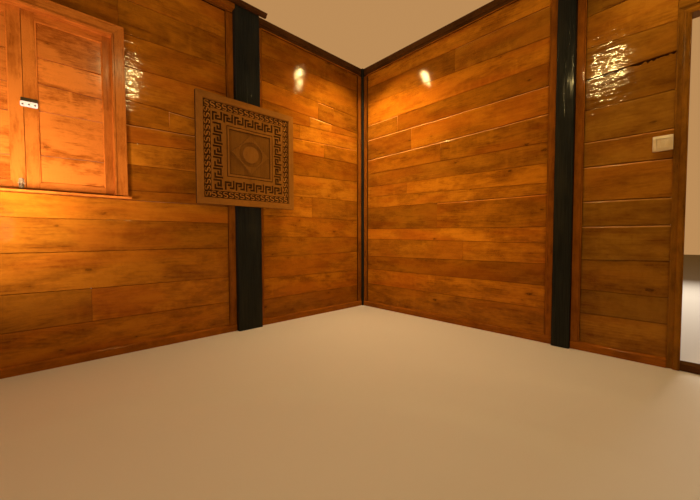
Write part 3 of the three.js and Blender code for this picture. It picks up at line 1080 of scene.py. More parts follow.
class WALL_OT_crown_moulding(bpy.types.Operator):
    """Run the cove moulding along the top of the window bay"""
    bl_idname = "plank_wall.crown_moulding"
    bl_label = "Crown moulding"

    def execute(self, context):
        low, high = node_span("crown_moulding", WINDOW_WALL)
        crown = start_box("cove_moulding", low, high)
        fillet = 0.006
        cut_across(crown, "z", high.z - fillet)
        round_edges(crown, edge_at(y=low.y, z=low.z), 0.019, 8, shape=0.12)
        soften(crown, 0.0012, 1)
        lay_grain(crown, "X")
        hand_over(crown, WINDOW_WALL, finish_of("dark_rail_timber"), "dark_rail", "crown_moulding")
        return {"FINISHED"}


# Surrounds of the openings

def mould(piece, axis, inner, outwards, strips):
    """Raises (below zero) or sinks strips of the front; a strip is (from, to, depth), measured
    from the inner edge of the member outwards."""
    places = {place for near, far, _ in strips for place in (near, far)}
    low, high = span(piece)
    ends = (low["xyz".index(axis)], high["xyz".index(axis)])
    for place in sorted(places):
        where = inner + outwards * place
        if min(ends) + 1e-5 < where < max(ends) - 1e-5:
            cut_across(piece, axis, where)
    for near, far, depth in strips:
        reach = (inner + outwards * near, inner + outwards * far)
        push(piece, face_towards((0, -1, 0), **{axis: reach}), (0, depth, 0))


def surround(name, opening, width, front, back, foot, strips, rebate=None):
    """Two legs and a head around an opening (left, right, top), mitred at the upper corners. A
    rebate is (width, depth where it starts). Returns the left leg, the right leg and the head."""
    left, right, top = opening
    members = []
    wide, deep = rebate or (0.0, 0.0)
    for side, inner in ((-1, left), (1, right)):
        outer = inner + side * width
        shoulder = inner + side * wide
        x0, x1 = sorted((shoulder, outer))
        leg_name = f"{name}_left" if side < 0 else f"{name}_right"
        leg = start_box(leg_name, (x0, front, foot), (x1, back, top + width))
        if rebate:
            cut_across(leg, "y", deep)
            push(leg, face_towards((-side, 0, 0), y=(front, deep)), (-side * wide, 0, 0))
        mould(leg, "x", inner, side, strips)
        mitre(leg, (inner, top), (outer, top + width))
        members.append(leg)
    head = start_box(
        f"{name}_head", (left - width, front, top + wide), (right + width, back, top + width)
    )
    if rebate:
        cut_across(head, "y", deep)
        push(head, face_towards((0, 0, -1), y=(front, deep)), (0, 0, -wide))
    mould(head, "z", top, 1, strips)
    mitre(head, (left, top), (left - width, top + width))
    mitre(head, (right, top), (right + width, top + width))
    return [*members, head]


class WALL_OT_window_surround(bpy.types.Operator):
    """Build the window's frame, sill and casings"""
    bl_idname = "plank_wall.window_surround"
    bl_label = "Window frame and casings"

    def execute(self, context):
        self.frame_members()
        self.sill()
        self.casings()
        return {"FINISHED"}

    def frame_members(self):
        rebate, start = 0.015, 0.050
        for node, inner, along in (
            ("window_right_jamb", (-1, 0, 0), "Z"),
            ("window_left_jamb", (1, 0, 0), "Z"),
            ("window_head", (0, 0, -1), "X"),
        ):
            low, high = node_span(node, WINDOW_WALL)
            inner = Vector(inner)
            for axis in (0, 2):
                if inner[axis] < 0:
                    low[axis] += rebate
                elif inner[axis] > 0:
                    high[axis] -= rebate
            member = start_box(f"rebated_{node}", low, high)
            cut_across(member, "y", start)
            push(member, face_towards(inner, y=(low.y, start)), inner * rebate)
            soften(member, 0.0015)
            lay_grain(member, along, tone=0.2)
            hand_over(member, WINDOW_WALL, finish_of("planed_window_timber"), "window_timber", node)

    def sill(self):
        low, high = node_span("window_sill", WINDOW_WALL)
        middle = (low.x + high.x) / 2
        opening = 0.445
        sill = start_box(
            "nosed_sill", (middle - opening, low.y, low.z), (middle + opening, high.y, high.z)
        )
        cut_across(sill, "y", 0.0, BOARD_BACK)
        for side in (-1, 1):
            push(sill, face_towards((side, 0, 0), y=(low.y, 0.0)), (side * 0.042, 0, 0))
            push(sill, face_towards((side, 0, 0), y=(BOARD_BACK, high.y)), (side * 0.082, 0, 0))
        slope = Vector((0, -0.10, 1)).normalized()
        cut(sill, (0, low.y, high.z - 0.008), slope, keep="back")
        slope.y = -slope.y
        cut(sill, (0, high.y, high.z - 0.006), slope, keep="back")
        soften(sill, 0.0022)
        # A tongue closes the gap under the leaves; it is toned dark as painted shade
        leaf_low, leaf_high = node_span("left_shutter_frame", WINDOW_WALL)
        tongue = start_box(
            "sill_tongue", (middle - opening, leaf_low.y + 0.010, high.z - 0.012),
            (middle + opening, leaf_high.y - 0.010, leaf_low.z - 0.0006),
        )
        soften(tongue, 0.0012)
        for part, tone in ((sill, 0.1), (tongue, -1.2)):
            lay_grain(part, "X", tone=tone)
        sill = join("nosed_sill", [sill, tongue])
        finish = finish_of("planed_window_timber")
        hand_over(sill, WINDOW_WALL, finish, "window_timber", "window_sill")

    def casings(self):
        bead = [(0.0, 0.009, -0.003), (0.009, 0.012, 0.002), (0.058, 0.0655, -0.0015)]
        for name, opening, foot, front, back in (
            ("window_inside_casing", (-3.075, -2.265, 2.034), 1.030, -0.017, 0.0),
            ("window_outside_casing", (-3.115, -2.225, 2.074), 1.030, 0.030, 0.047),
        ):
            parts = surround(name, opening, 0.0655, front, back, foot, bead)
            for part in parts:
                soften(part, 0.0014)
                lay_grain(part, "X" if part is parts[2] else "Z", tone=-0.55)
            casing = join(f"mitred_{name}", parts)
            if back > 0:
                centre = (front + back) / 2 + 0.0015
                turn = Matrix.Translation((0, 2 * centre, 0)) @ Matrix.Diagonal((1, -1, 1, 1))
                casing.data.transform(turn)
                casing.data.flip_normals()
            hand_over(casing, WINDOW_WALL, finish_of("planed_window_timber"), "window_timber", name)


class WALL_OT_doorway(bpy.types.Operator):
    """Build the doorway's moulded frame and its threshold"""
    bl_idname = "plank_wall.doorway"
    bl_label = "Doorway"

    def execute(self, context):
        strips = [(0.0, 0.030, -0.013), (0.047, 0.055, -0.004)]
        quirk = [(0.0045, 0.007, 0.003)]
        head_low, head_high = node_span("door_head", DOOR_WALL)
        left, right, top = head_low.x, head_high.x, head_low.z
        parts = surround(
            "doorway", (left, right, top), head_high.z - top, -0.012, 0.090, 0.0, strips,
            rebate=(0.015, 0.050),
        )
        nodes = ("door_far_jamb", "door_near_jamb", "door_head")
        for part, node, along in zip(parts, nodes, "ZZX"):
            axis, inner, outwards = {
                "door_far_jamb": ("x", left, -1),
                "door_near_jamb": ("x", right, 1),
                "door_head": ("z", top, 1),
            }[node]
            ridge = {axis: inner + outwards * 0.030, "y": -0.025}
            round_edges(part, edge_at(**ridge), 0.007, 4)
            mould(part, axis, inner, outwards, quirk)
            soften(part, 0.0015)
            lay_grain(part, along)
            part.name = part.data.name = f"moulded_{node}"
            hand_over(part, DOOR_WALL, finish_of("aged_doorway_timber"), "frame_timber", node)
        low, high = node_span("door_threshold", DOOR_WALL)
        threshold = start_box("worn_threshold", low, high)
        round_edges(threshold, edge_at(y=low.y, z=high.z), 0.008, 4)
        round_edges(threshold, edge_at(y=high.y, z=high.z), 0.008, 4)
        soften(threshold, 0.001, 1)
        add_rings(threshold, "x", 20, shortest=0.4)
        lay_grain(threshold, "X")
        finish = finish_of("dark_rail_timber")
        hand_over(threshold, DOOR_WALL, finish, "dark_rail", "door_threshold")
        return {"FINISHED"}


# Shutters

def screw_head(name, place, radius, outwards=-1):
    """A slotted screw head on a face of the wall; outwards is the way that it looks, along y."""
    depth = radius * 0.5
    middle = Vector(place) + Vector((0, outwards * depth / 2, 0))
    head = start_round(name, middle, radius, depth, sides=14)
    face = face_towards((0, outwards, 0))
    slot = radius * 0.16
    round_edges(head, lambda edge: all(
        abs(end.co.y - (place[1] + outwards * depth)) < 1e-5 for end in edge.verts
    ), depth * 0.7, 2)
    cut_across(head, "z", place[2] - slot, place[2] + slot)
    push(head, lambda part: face(part) and abs(part.calc_center_median().z - place[2]) < slot,
         (0, -outwards * depth * 0.5, 0))
    return head


SHUTTER_GAP = 0.0016

# Each hinge's leaf, the edge that it turns about and which way its strap lies
HINGES = (("right", -2.2505, -1), ("left", -3.0895, 1))
HINGE_HEIGHTS = (1.23, 1.86)
STRAP_REACH = 0.160
STRAP_BACK, STRAP_FACE = 0.0842, 0.0872
LEAF_BACK, LEAF_FACE = 0.0901, 0.0926


class WALL_OT_shutters(bpy.types.Operator):
    """Build both shutters and their hinges"""
    bl_idname = "plank_wall.shutters"
    bl_label = "Shutters"

    def execute(self, context):
        for side, seams, worn in (
            ("right", [1.076, 1.238, 1.492, 1.642, 1.793, 1.994], (3,)),
            ("left", [1.076, 1.222, 1.462, 1.622, 1.800, 1.994], ()),
        ):
            self.frame(side)
            self.boards(side, seams, worn)
        self.hinges()
        return {"FINISHED"}

    def frame(self, side):
        low, high = node_span(f"{side}_shutter_frame", WINDOW_WALL)
        inner_low, inner_high = node_span(f"{side}_shutter_boards", WINDOW_WALL)
        members = []
        for name, first, second, along in (
            ("stile_low", low, Vector((inner_low.x, high.y, high.z)), "Z"),
            ("stile_high", Vector((inner_high.x, low.y, low.z)), high, "Z"),
            ("bottom", Vector((inner_low.x, low.y, low.z)),
             Vector((inner_high.x, high.y, inner_low.z)), "X"),
            ("top", Vector((inner_low.x, low.y, inner_high.z)),
             Vector((inner_high.x, high.y, high.z)), "X"),
        ):
            member = start_box(f"{side}_shutter_{name}", first, second)
            soften(member, 0.0014)
            # Painted shade: the stile on the hinge side, beside the jamb, is toned darker
            hinged_shaded = name == ("stile_high" if side == "right" else "stile_low")
            lay_grain(member, along, tone=-0.9 if hinged_shaded else -0.2)
            members.append(member)
        corners = (inner_low.x, inner_high.x, inner_low.z, inner_high.z)
        size = 0.006
        opening = (corners[0] + size, corners[1] - size, corners[2] + size, corners[3] - size)
        members += bead_strips(
            f"{side}_shutter_bead", ("left", "right", "bottom", "top"), opening, low.y + 0.0015,
            low.y + 0.010, size,
        )
        if side == "left":
            members.append(self.meeting_strip(high))
        frame_piece = join(f"{side}_shutter_joinery", members)
        finish = finish_of("planed_window_timber")
        hand_over(frame_piece, WINDOW_WALL, finish, "shutter_timber", f"{side}_shutter_frame")

    def meeting_strip(self, corner):
        """The strip on the outside of the left leaf, which closes the gap where the leaves meet."""
        right_low, right_high = node_span("right_shutter_frame", WINDOW_WALL)
        strip = start_box(
            "meeting_strip", (corner.x - 0.022, corner.y - 0.0005, right_low.z + 0.004),
            (right_low.x + 0.018, corner.y + 0.010, right_high.z - 0.004),
        )
        soften(strip, 0.0025)
        # Painted shade: the strip is toned dark, as the gap where the leaves meet is in shade
        lay_grain(strip, "Z", tone=-1.4)
        return strip

    def boards(self, side, seams, worn):
        node = f"{side}_shutter_boards"
        low, high = node_span(node, WINDOW_WALL)
        dice = random.Random(node)
        boards = []
        for course, (below, above) in enumerate(zip(seams, seams[1:])):
            tilt = dice.uniform(-0.004, 0.004)
            lower = (below, below) if course == 0 else (below - last, below + last)
            upper = (above, above) if course == len(seams) - 2 else (above - tilt, above + tilt)
            last = tilt
            front = low.y + (0.001 if course + 1 in worn else 0.002)
            board = start_box(
                f"{node}_{course}", (low.x, front, min(lower) - 0.01),
                (high.x, high.y, max(upper) + 0.01), math.radians(dice.uniform(0.1, 0.5)),
            )
            trim(board, (low.x, high.x), lower, SHUTTER_GAP, "front")
            trim(board, (low.x, high.x), upper, SHUTTER_GAP, "back")
            soften(board, 0.0034)
            add_rings(board, "x", 8, shortest=0.1)
            lay_grain(board, "X", tone=dice.uniform(-0.35, 0.35))
            boards.append(board)
        panel = join(f"{side}_shutter_planks", boards)
        wander(panel, "Z", 0.004, 0.15)
        hand_over(panel, WINDOW_WALL, finish_of("shutter_boards"), "shutter_timber", node)

    def hinges(self):
        """Strap hinges on the outside, two for each leaf."""
        for side, edge, towards in HINGES:
            parts = []
            for height in HINGE_HEIGHTS:
                tip = edge + towards * STRAP_REACH
                x0, x1 = sorted((edge + towards * 0.004, tip))
                strap = start_box(
                    f"{side}_strap", (x0, STRAP_BACK, height - 0.013),
                    (x1, STRAP_FACE, height + 0.013),
                )
                round_edges(strap, lambda part, tip=tip: edge_along("y")(part) and
                            abs(part.verts[0].co.x - tip) < 1e-4, 0.011, 4)
                soften(strap, 0.0008, 1)
                parts.append(strap)
                pin = (edge + towards * 0.002, 0.0905, height)
                knuckle = start_round(f"{side}_knuckle", pin, 0.0062, 0.046, 14, "Z")
                soften(knuckle, 0.0012, 2)
                parts.append(knuckle)
                x0, x1 = sorted((edge, edge - towards * 0.024))
                leaf = start_box(
                    f"{side}_leaf", (x0, LEAF_BACK, height - 0.020), (x1, LEAF_FACE, height + 0.020)
                )
                soften(leaf, 0.0008, 1)
                parts.append(leaf)
                for reach in (0.040, 0.085, 0.130):
                    spot = (edge + towards * reach, STRAP_FACE, height)
                    parts.append(screw_head(f"{side}_screw", spot, 0.0042, 1))
                for rise in (-0.012, 0.012):
                    spot = (edge - towards * 0.014, LEAF_FACE, height + rise)
                    parts.append(screw_head(f"{side}_screw", spot, 0.0034, 1))
            hinges = join(f"{side}_shutter_hinges", parts)
            hand_over(hinges, WINDOW_WALL, finish_of("dark_iron"), "hasp_metal")


class WALL_OT_shutter_fittings(bpy.types.Operator):
    """Fit the hasp and the bolt on the shutters"""
    bl_idname = "plank_wall.shutter_fittings"
    bl_label = "Hasp and bolt"

    def execute(self, context):
        self.hasp()
        self.bolt()
        return {"FINISHED"}

    def hasp(self):
        low, high = node_span("shutter_hasp", WINDOW_WALL)
        pale, dark = finish_of("pale_metal"), finish_of("dark_iron")
        # The dark plate that reaches above the bar is a painted shadow of the bar
        plate_front = high.y - 0.0032
        plate = start_box(
            "hasp_back_plate", (low.x + 0.002, plate_front, low.z + 0.004),
            (high.x, high.y - 0.0002, high.z),
        )
        round_edges(plate, edge_along("y"), 0.004, 3)
        soften(plate, 0.0008, 2)
        hand_over(plate, WINDOW_WALL, dark, "hasp_metal")
        bar_front = low.y + 0.0015
        bar = start_box(
            "hasp_bar", (low.x, bar_front, low.z), (high.x, plate_front, low.z + 0.030)
        )
        round_edges(bar, edge_along("y"), 0.007, 4)
        soften(bar, 0.0012, 2)
        hand_over(bar, WINDOW_WALL, pale, "hasp_metal", "shutter_hasp")
        screws = []
        for reach, rise in ((0.010, 0.012), (0.036, 0.014), (0.061, 0.014)):
            spot = (low.x + reach, bar_front, low.z + rise)
            screws.append(screw_head("hasp_screw", spot, 0.0042))
        hand_over(join("hasp_screws", screws), WINDOW_WALL, dark, "hasp_metal")

    def bolt(self):
        low, high = node_span("shutter_bolt", WINDOW_WALL)
        brass, dark = finish_of("old_brass"), finish_of("dark_iron")
        middle = (low.x + high.x) / 2
        back = high.y
        parts = []
        centre = (low.z + high.z) / 2
        plate = start_box(
            "bolt_plate", (middle - 0.0100, back - 0.0026, low.z + 0.006),
            (middle + 0.0100, back - 0.0002, high.z - 0.006),
        )
        soften(plate, 0.0006, 1)
        parts.append(plate)
        for side, height, radius in (
            (0, low.z + 0.0118, 0.0115), (0, high.z - 0.0118, 0.0115),
            (-0.0085, centre, 0.0072), (0.0085, centre, 0.0072),
            (-0.0070, centre - 0.0125, 0.0050), (0.0070, centre - 0.0125, 0.0050),
            (-0.0070, centre + 0.0125, 0.0050), (0.0070, centre + 0.0125, 0.0050),
        ):
            spot = (middle + side, back - 0.0015, height)
            lobe = start_round("bolt_lobe", spot, radius, 0.0026, 20)
            soften(lobe, 0.0008, 2)
            parts.append(lobe)
        spot, size = (middle, back - 0.0068, centre), high.z - low.z - 0.002
        rod = start_round("bolt_rod", spot, 0.0036, size, 16, "Z")
        soften(rod, 0.0010, 2)
        parts.append(rod)
        for height in (low.z + 0.011, centre + 0.009, high.z - 0.008):
            keeper = start_box(
                "bolt_keeper", (middle - 0.0078, back - 0.0112, height - 0.0036),
                (middle + 0.0078, back - 0.002, height + 0.0036),
            )
            round_edges(
                keeper, lambda part: edge_along("z")(part) and part.verts[0].co.y < back - 0.01,
                0.005, 4,
            )
            soften(keeper, 0.0006, 1)
            parts.append(keeper)
        knob = (middle, low.y + 0.0042, centre - 0.004)
        bpy.ops.object.select_all(action="DESELECT")
        bpy.ops.mesh.primitive_uv_sphere_add(
            segments=16, ring_count=10, radius=0.0042, location=knob
        )
        bpy.ops.object.transform_apply(location=True, rotation=True, scale=True)
        parts.append(bpy.context.object)
        hand_over(join("barrel_bolt", parts), WINDOW_WALL, brass, "bolt_brass", "shutter_bolt")
        screws = []
        for side in (-0.0062, 0.0062):
            for height in (low.z + 0.0105, centre - 0.0075, centre + 0.0075, high.z - 0.0105):
                spot = (middle + side, back - 0.0028, height)
                screws.append(screw_head("bolt_screw", spot, 0.0030))
        hand_over(join("bolt_screws", screws), WINDOW_WALL, dark, "hasp_metal")


# Carved panel

OUTER_BORDER = 0.057
PLAIN_BAND = 0.012
KEY_BORDER = 0.076
INNER_BAND = 0.020
CARVING_DEPTH = 0.010
KEY_STROKES = (
    ((-0.0335, -0.030), (-0.0335, 0.0225), (-0.0085, 0.0225)),
    ((0.0295, 0.030), (0.0295, -0.0205), (-0.0105, -0.0205), (-0.0105, 0.0005), (0.0075, 0.0005)),
)
STROKE = 0.0145
CENTRE_DEPTH = 0.0056
CENTRE_SHIFT = (0.009, 0, 0.0065)
STAR_PLACE = (-1.374, 1.4235)
STAR_REACH, STAR_WAIST, STAR_NICK = 0.163, 0.108, 0.955
HOLLOW = 0.098
STAR_STEPS = 16

# How much lighter or darker each kind of part is than the carved ground; the lighter scrolls are a
# painted highlight
CARVING_TONES_AND_HIGHLIGHT = {"scroll": 0.9, "star": -0.5, "disc": -0.1}


class WALL_OT_carved_panel(bpy.types.Operator):
    """Carve the panel on the window wall's post"""
    bl_idname = "plank_wall.carved_panel"
    bl_label = "Carved panel"

    def execute(self, context):
        self.border()
        self.field()
        return {"FINISHED"}

    def border(self):
        low, high = node_span("carved_panel_frame", WINDOW_WALL)
        inner_low, inner_high = node_span("carved_panel_field", WINDOW_WALL)
        width = inner_low.x - low.x
        members = []
        for name, x0, x1, z0, z1, along in (
            ("left", low.x, inner_low.x, low.z, high.z, "Z"),
            ("right", inner_high.x, high.x, low.z, high.z, "Z"),
            ("bottom", low.x, high.x, low.z, inner_low.z, "X"),
            ("top", low.x, high.x, inner_high.z, high.z, "X"),
        ):
            member = start_box(f"panel_{name}", (x0, low.y, z0), (x1, high.y, z1))
            corners = {
                "left": ((low.x, low.z, 1, 1), (low.x, high.z, 1, -1)),
                "right": ((high.x, low.z, -1, 1), (high.x, high.z, -1, -1)),
                "bottom": ((low.x, low.z, 1, 1), (high.x, low.z, -1, 1)),
                "top": ((low.x, high.z, 1, -1), (high.x, high.z, -1, -1)),
            }[name]
            for x, z, right, up in corners:
                mitre(member, (x, z), (x + right * width, z + up * width))
            soften(member, 0.0016)
            lay_grain(member, along, tone=0.3)
            members.append(member)
        hand_over(
            join("panel_border", members), WINDOW_WALL, finish_of("carved_relief_timber"),
            "carved_timber", "carved_panel_frame",
        )

    def field(self):
        low, high = node_span("carved_panel_field", WINDOW_WALL)
        field = start_box("carving", low, high)
        self.frames_in_frames(field, low, high)
        self.cut_keys(field, low, high)
        soften(field, 0.0009, 1)
        parts = [field, *self.scrolls(low, high), *self.star(low)]
        middle = ((low.x + high.x) / 2, low.y + 0.012, (low.z + high.z) / 2)
        for part in parts:
            tone = CARVING_TONES_AND_HIGHLIGHT.get(part.name.split(".")[0], 0.0)
            lay_grain(part, "Z", tone=tone, middle=middle, seed=0.37)
        hand_over(
            join("panel_carving", parts), WINDOW_WALL, finish_of("carved_relief_timber"),
            "carved_timber", "carved_panel_field",
        )

    def frames_in_frames(self, field, low, high):
        """The stepped rings of the relief, each from an inset of the last."""
        middle = Vector(((low.x + high.x) / 2, low.y, (low.z + high.z) / 2))
        half_x = (high.x - low.x) / 2
        half_z = (high.z - low.z) / 2
        rings = [
            (0.003, 0.0), (OUTER_BORDER - 0.003, CARVING_DEPTH), (PLAIN_BAND, 0.0),
            (KEY_BORDER, 0.0), (INNER_BAND, 0.0), (0.007, 0.0075), (0.015, -0.001), (0.007, 0.0075),
        ]
        reach = 0.0
        for width, depth in rings:
            def inside(face, reach=reach):
                centre = face.calc_center_median()
                return face.normal.y < -0.9 and (centre - middle).xz.length < 0.01
            inset(field, inside, width)
            near, far = reach, reach + width
            reach = far
            if depth:
                def ring(face, near=near, far=far):
                    centre = face.calc_center_median() - middle
                    if face.normal.y > -0.9:
                        return False
                    place = max(abs(centre.x) - half_x, abs(centre.z) - half_z)
                    return -far < place < -near and abs(centre.y) < 0.0005
                push(field, ring, (0, depth, 0))
        with editing(field):
            choose(field, "FACE", inside)
            bpy.ops.transform.translate(value=(0, CENTRE_DEPTH, 0))
        # The inner square doesn't stand quite in the middle
        shy = OUTER_BORDER + PLAIN_BAND + KEY_BORDER + INNER_BAND / 2
        with editing(field, "VERT"):
            mesh = bmesh.from_edit_mesh(field.data)
            for vertex in mesh.verts:
                spot = vertex.co - middle
                vertex.select_set(abs(spot.x) < half_x - shy and abs(spot.z) < half_z - shy)
            bmesh.update_edit_mesh(field.data)
            bpy.ops.transform.translate(value=CENTRE_SHIFT)

    def cut_keys(self, field, low, high):
        """The key pattern, sunk between the two plain bands."""
        ring = OUTER_BORDER + PLAIN_BAND + KEY_BORDER / 2
        strokes = []
        for stroke in KEY_STROKES:
            for (x0, z0), (x1, z1) in zip(stroke, stroke[1:]):
                # No two strokes end in one plane, so that the cut stays clean where they cross
                apart = 0.00011 * len(strokes)
                half = STROKE / 2 + apart / 2
                strokes.append(start_box(
                    "stroke", (min(x0, x1) - half, low.y - 0.003 - apart, min(z0, z1) - half),
                    (max(x0, x1) + half, low.y + CARVING_DEPTH + apart, max(z0, z1) + half),
                ))
        unit = join("key_unit", strokes)
        units = []
        for turn, place in border_places(low, high, ring, 6, 6):
            turned = Matrix.Rotation(turn, 4, "Y")
            units.append(copy_moved(unit, Matrix.Translation(place) @ turned))
        bpy.data.objects.remove(unit)
        cutter = join("key_cutter", units)
        carve = field.modifiers.new("keys", "BOOLEAN")
        carve.operation = "DIFFERENCE"
        carve.solver = "EXACT"
        carve.use_self = True
        carve.object = cutter
        make_active(field)
        bpy.ops.object.modifier_apply(modifier=carve.name)
        bpy.data.objects.remove(cutter)

    def scrolls(self, low, high):
        """Curling waves that stand in the sunk outer border."""
        floor = low.y + CARVING_DEPTH
        curve = bpy.data.curves.new("scroll", "CURVE")
        curve.dimensions = "3D"
        curve.bevel_depth = 0.0058
        curve.bevel_resolution = 1
        curve.use_fill_caps = True
        turns = [math.radians(20 + 28 * step) for step in range(9)]
        bend = 0.0100
        points = [(bend * math.cos(turn), bend + bend * math.sin(turn)) for turn in turns]
        points += [(0.0, 0.0)] + [(-x, -z) for x, z in reversed(points)]
        spline = curve.splines.new("POLY")
        spline.points.add(len(points) - 1)
        for index, (x, z) in enumerate(points):
            spline.points[index].co = (1.5 * x, 0, z, 1)
            spline.points[index].radius = 1.0 - 0.35 * abs(2 * index / (len(points) - 1) - 1)
        unit = bpy.data.objects.new("scroll", curve)
        bpy.context.scene.collection.objects.link(unit)
        make_active(unit)
        bpy.ops.object.convert(target="MESH")
        unit = bpy.context.object
        deeper = Matrix.Diagonal((1, 1.3, 1, 1))
        unit.data.transform(Matrix.Translation((0, floor - 0.0035, 0)) @ deeper)
        units = []
        for turn, place in border_places(low, high, OUTER_BORDER / 2 + 0.0015, 15, 15):
            turned = Matrix.Rotation(turn, 4, "Y")
            units.append(copy_moved(unit, Matrix.Translation(place) @ turned))
        bpy.data.objects.remove(unit)
        return units

    def star(self, low):
        """A four-pointed leafy star around a plain disc that lies in a round hollow."""
        middle = Vector((STAR_PLACE[0], 0, STAR_PLACE[1]))
        face = low.y - 0.0008
        sides = 4 * STAR_STEPS
        start = middle + Vector((0, face + 0.004, 0))
        star = start_round("star", start, HOLLOW, 0.008, sides=sides)
        inset(star, face_towards((0, -1, 0)), 0.004)
        with editing(star, "VERT"):
            mesh = bmesh.from_edit_mesh(star.data)
            for vertex in mesh.verts:
                flat = Vector((vertex.co.x, 0, vertex.co.z)) - middle
                inner = flat.length < HOLLOW - 0.002
                index = round(math.atan2(flat.z, flat.x) / (2 * math.pi) * sides) % sides
                spot = flat.normalized() * HOLLOW if inner else star_outline(index)
                vertex.co = middle + spot + Vector((0, vertex.co.y, 0))
            bmesh.update_edit_mesh(star.data)
        push(star, lambda part: part.normal.y < -0.9 and len(part.verts) > 8, (0, 0.0072, 0))
        soften(star, 0.0012, 1)
        disc = start_round("disc", middle + Vector((0, low.y + 0.005, 0)), 0.067, 0.012, sides=56)
        soften(disc, 0.003, 3)
        return [star, disc]


def star_outline(index):
    """The point of that number on the star's edge, which is nicked at every other one."""
    arm, step = divmod(index, STAR_STEPS)
    turns = [math.pi * quarter / 2 for quarter in (arm, arm + 1)]
    tips = [Vector((math.cos(turn), 0, math.sin(turn))) for turn in turns]
    corner = (tips[0] + tips[1]).normalized() * STAR_WAIST
    share = step / STAR_STEPS
    if share < 0.5:
        spot = (tips[0] * STAR_REACH).lerp(corner, share * 2)
    else:
        spot = corner.lerp(tips[1] * STAR_REACH, share * 2 - 1)
    return spot * (1.0 if step % 2 == 0 else STAR_NICK)


def border_places(low, high, ring, across, up):
    """Where the units of a border stand, and their turn about y, going round the four sides."""
    left, right = low.x + ring, high.x - ring
    bottom, top = low.z + ring, high.z - ring
    corners = [(left, top), (right, top), (right, bottom), (left, bottom)]
    for side, count in enumerate((across, up, across, up)):
        start, end = Vector(corners[side]), Vector(corners[(side + 1) % 4])
        for index in range(count):
            spot = start.lerp(end, index / count)
            yield side * math.pi / 2, Vector((spot.x, 0, spot.y))


# Width of the plate's rim beside the rockers, and of the joint around each rocker
SWITCH_RIM = 0.016
SWITCH_JOINT = 0.0008


class WALL_OT_light_switch(bpy.types.Operator):
    """Fit the light switch beside the doorway"""
    bl_idname = "plank_wall.light_switch"
    bl_label = "Light switch"

    def execute(self, context):
        low, high = node_span("light_switch", DOOR_WALL)
        plate_back = low.y + 0.008
        box = start_box(
            "switch_box", (low.x + 0.005, plate_back, low.z + 0.003),
            (high.x - 0.005, high.y, high.z - 0.003),
        )
        round_edges(box, edge_along("y"), 0.004, 3)
        plate_low = (low.x, low.y + 0.002, low.z)
        plate = start_box("switch_plate", plate_low, (high.x, plate_back, high.z))
        round_edges(plate, edge_along("y"), 0.003, 3)
        soften(plate, 0.0014, 3)
        inset(plate, face_towards((0, -1, 0)), SWITCH_RIM)
        push(plate, lambda face: face.normal.y < -0.9 and face.calc_area() > 0.0015, (0, 0.0016, 0))
        parts = [box, plate]
        wide = (high.x - low.x - 2 * SWITCH_RIM) / 3
        for place in range(3):
            left = low.x + SWITCH_RIM + place * wide
            rocker = start_box(
                f"rocker_{place}", (left + SWITCH_JOINT, low.y + 0.0010, low.z + 0.017),
                (left + wide - SWITCH_JOINT, low.y + 0.006, high.z - 0.017), math.radians(1.5),
            )
            soften(rocker, 0.0008, 2)
            parts.append(rocker)
        finish = plastic_finish("cream_plastic", context.scene.wall_colours.switch)
        hand_over(join("switch", parts), DOOR_WALL, finish, "switch_plastic", "light_switch")
        return {"FINISHED"}


# Stage

CAMERA_PLACE = (-2.6097, -2.5545, 0.7523)
CAMERA_HEADING = 0.81351
CAMERA_PITCH = -0.03666
CAMERA_ROLL = -0.00181


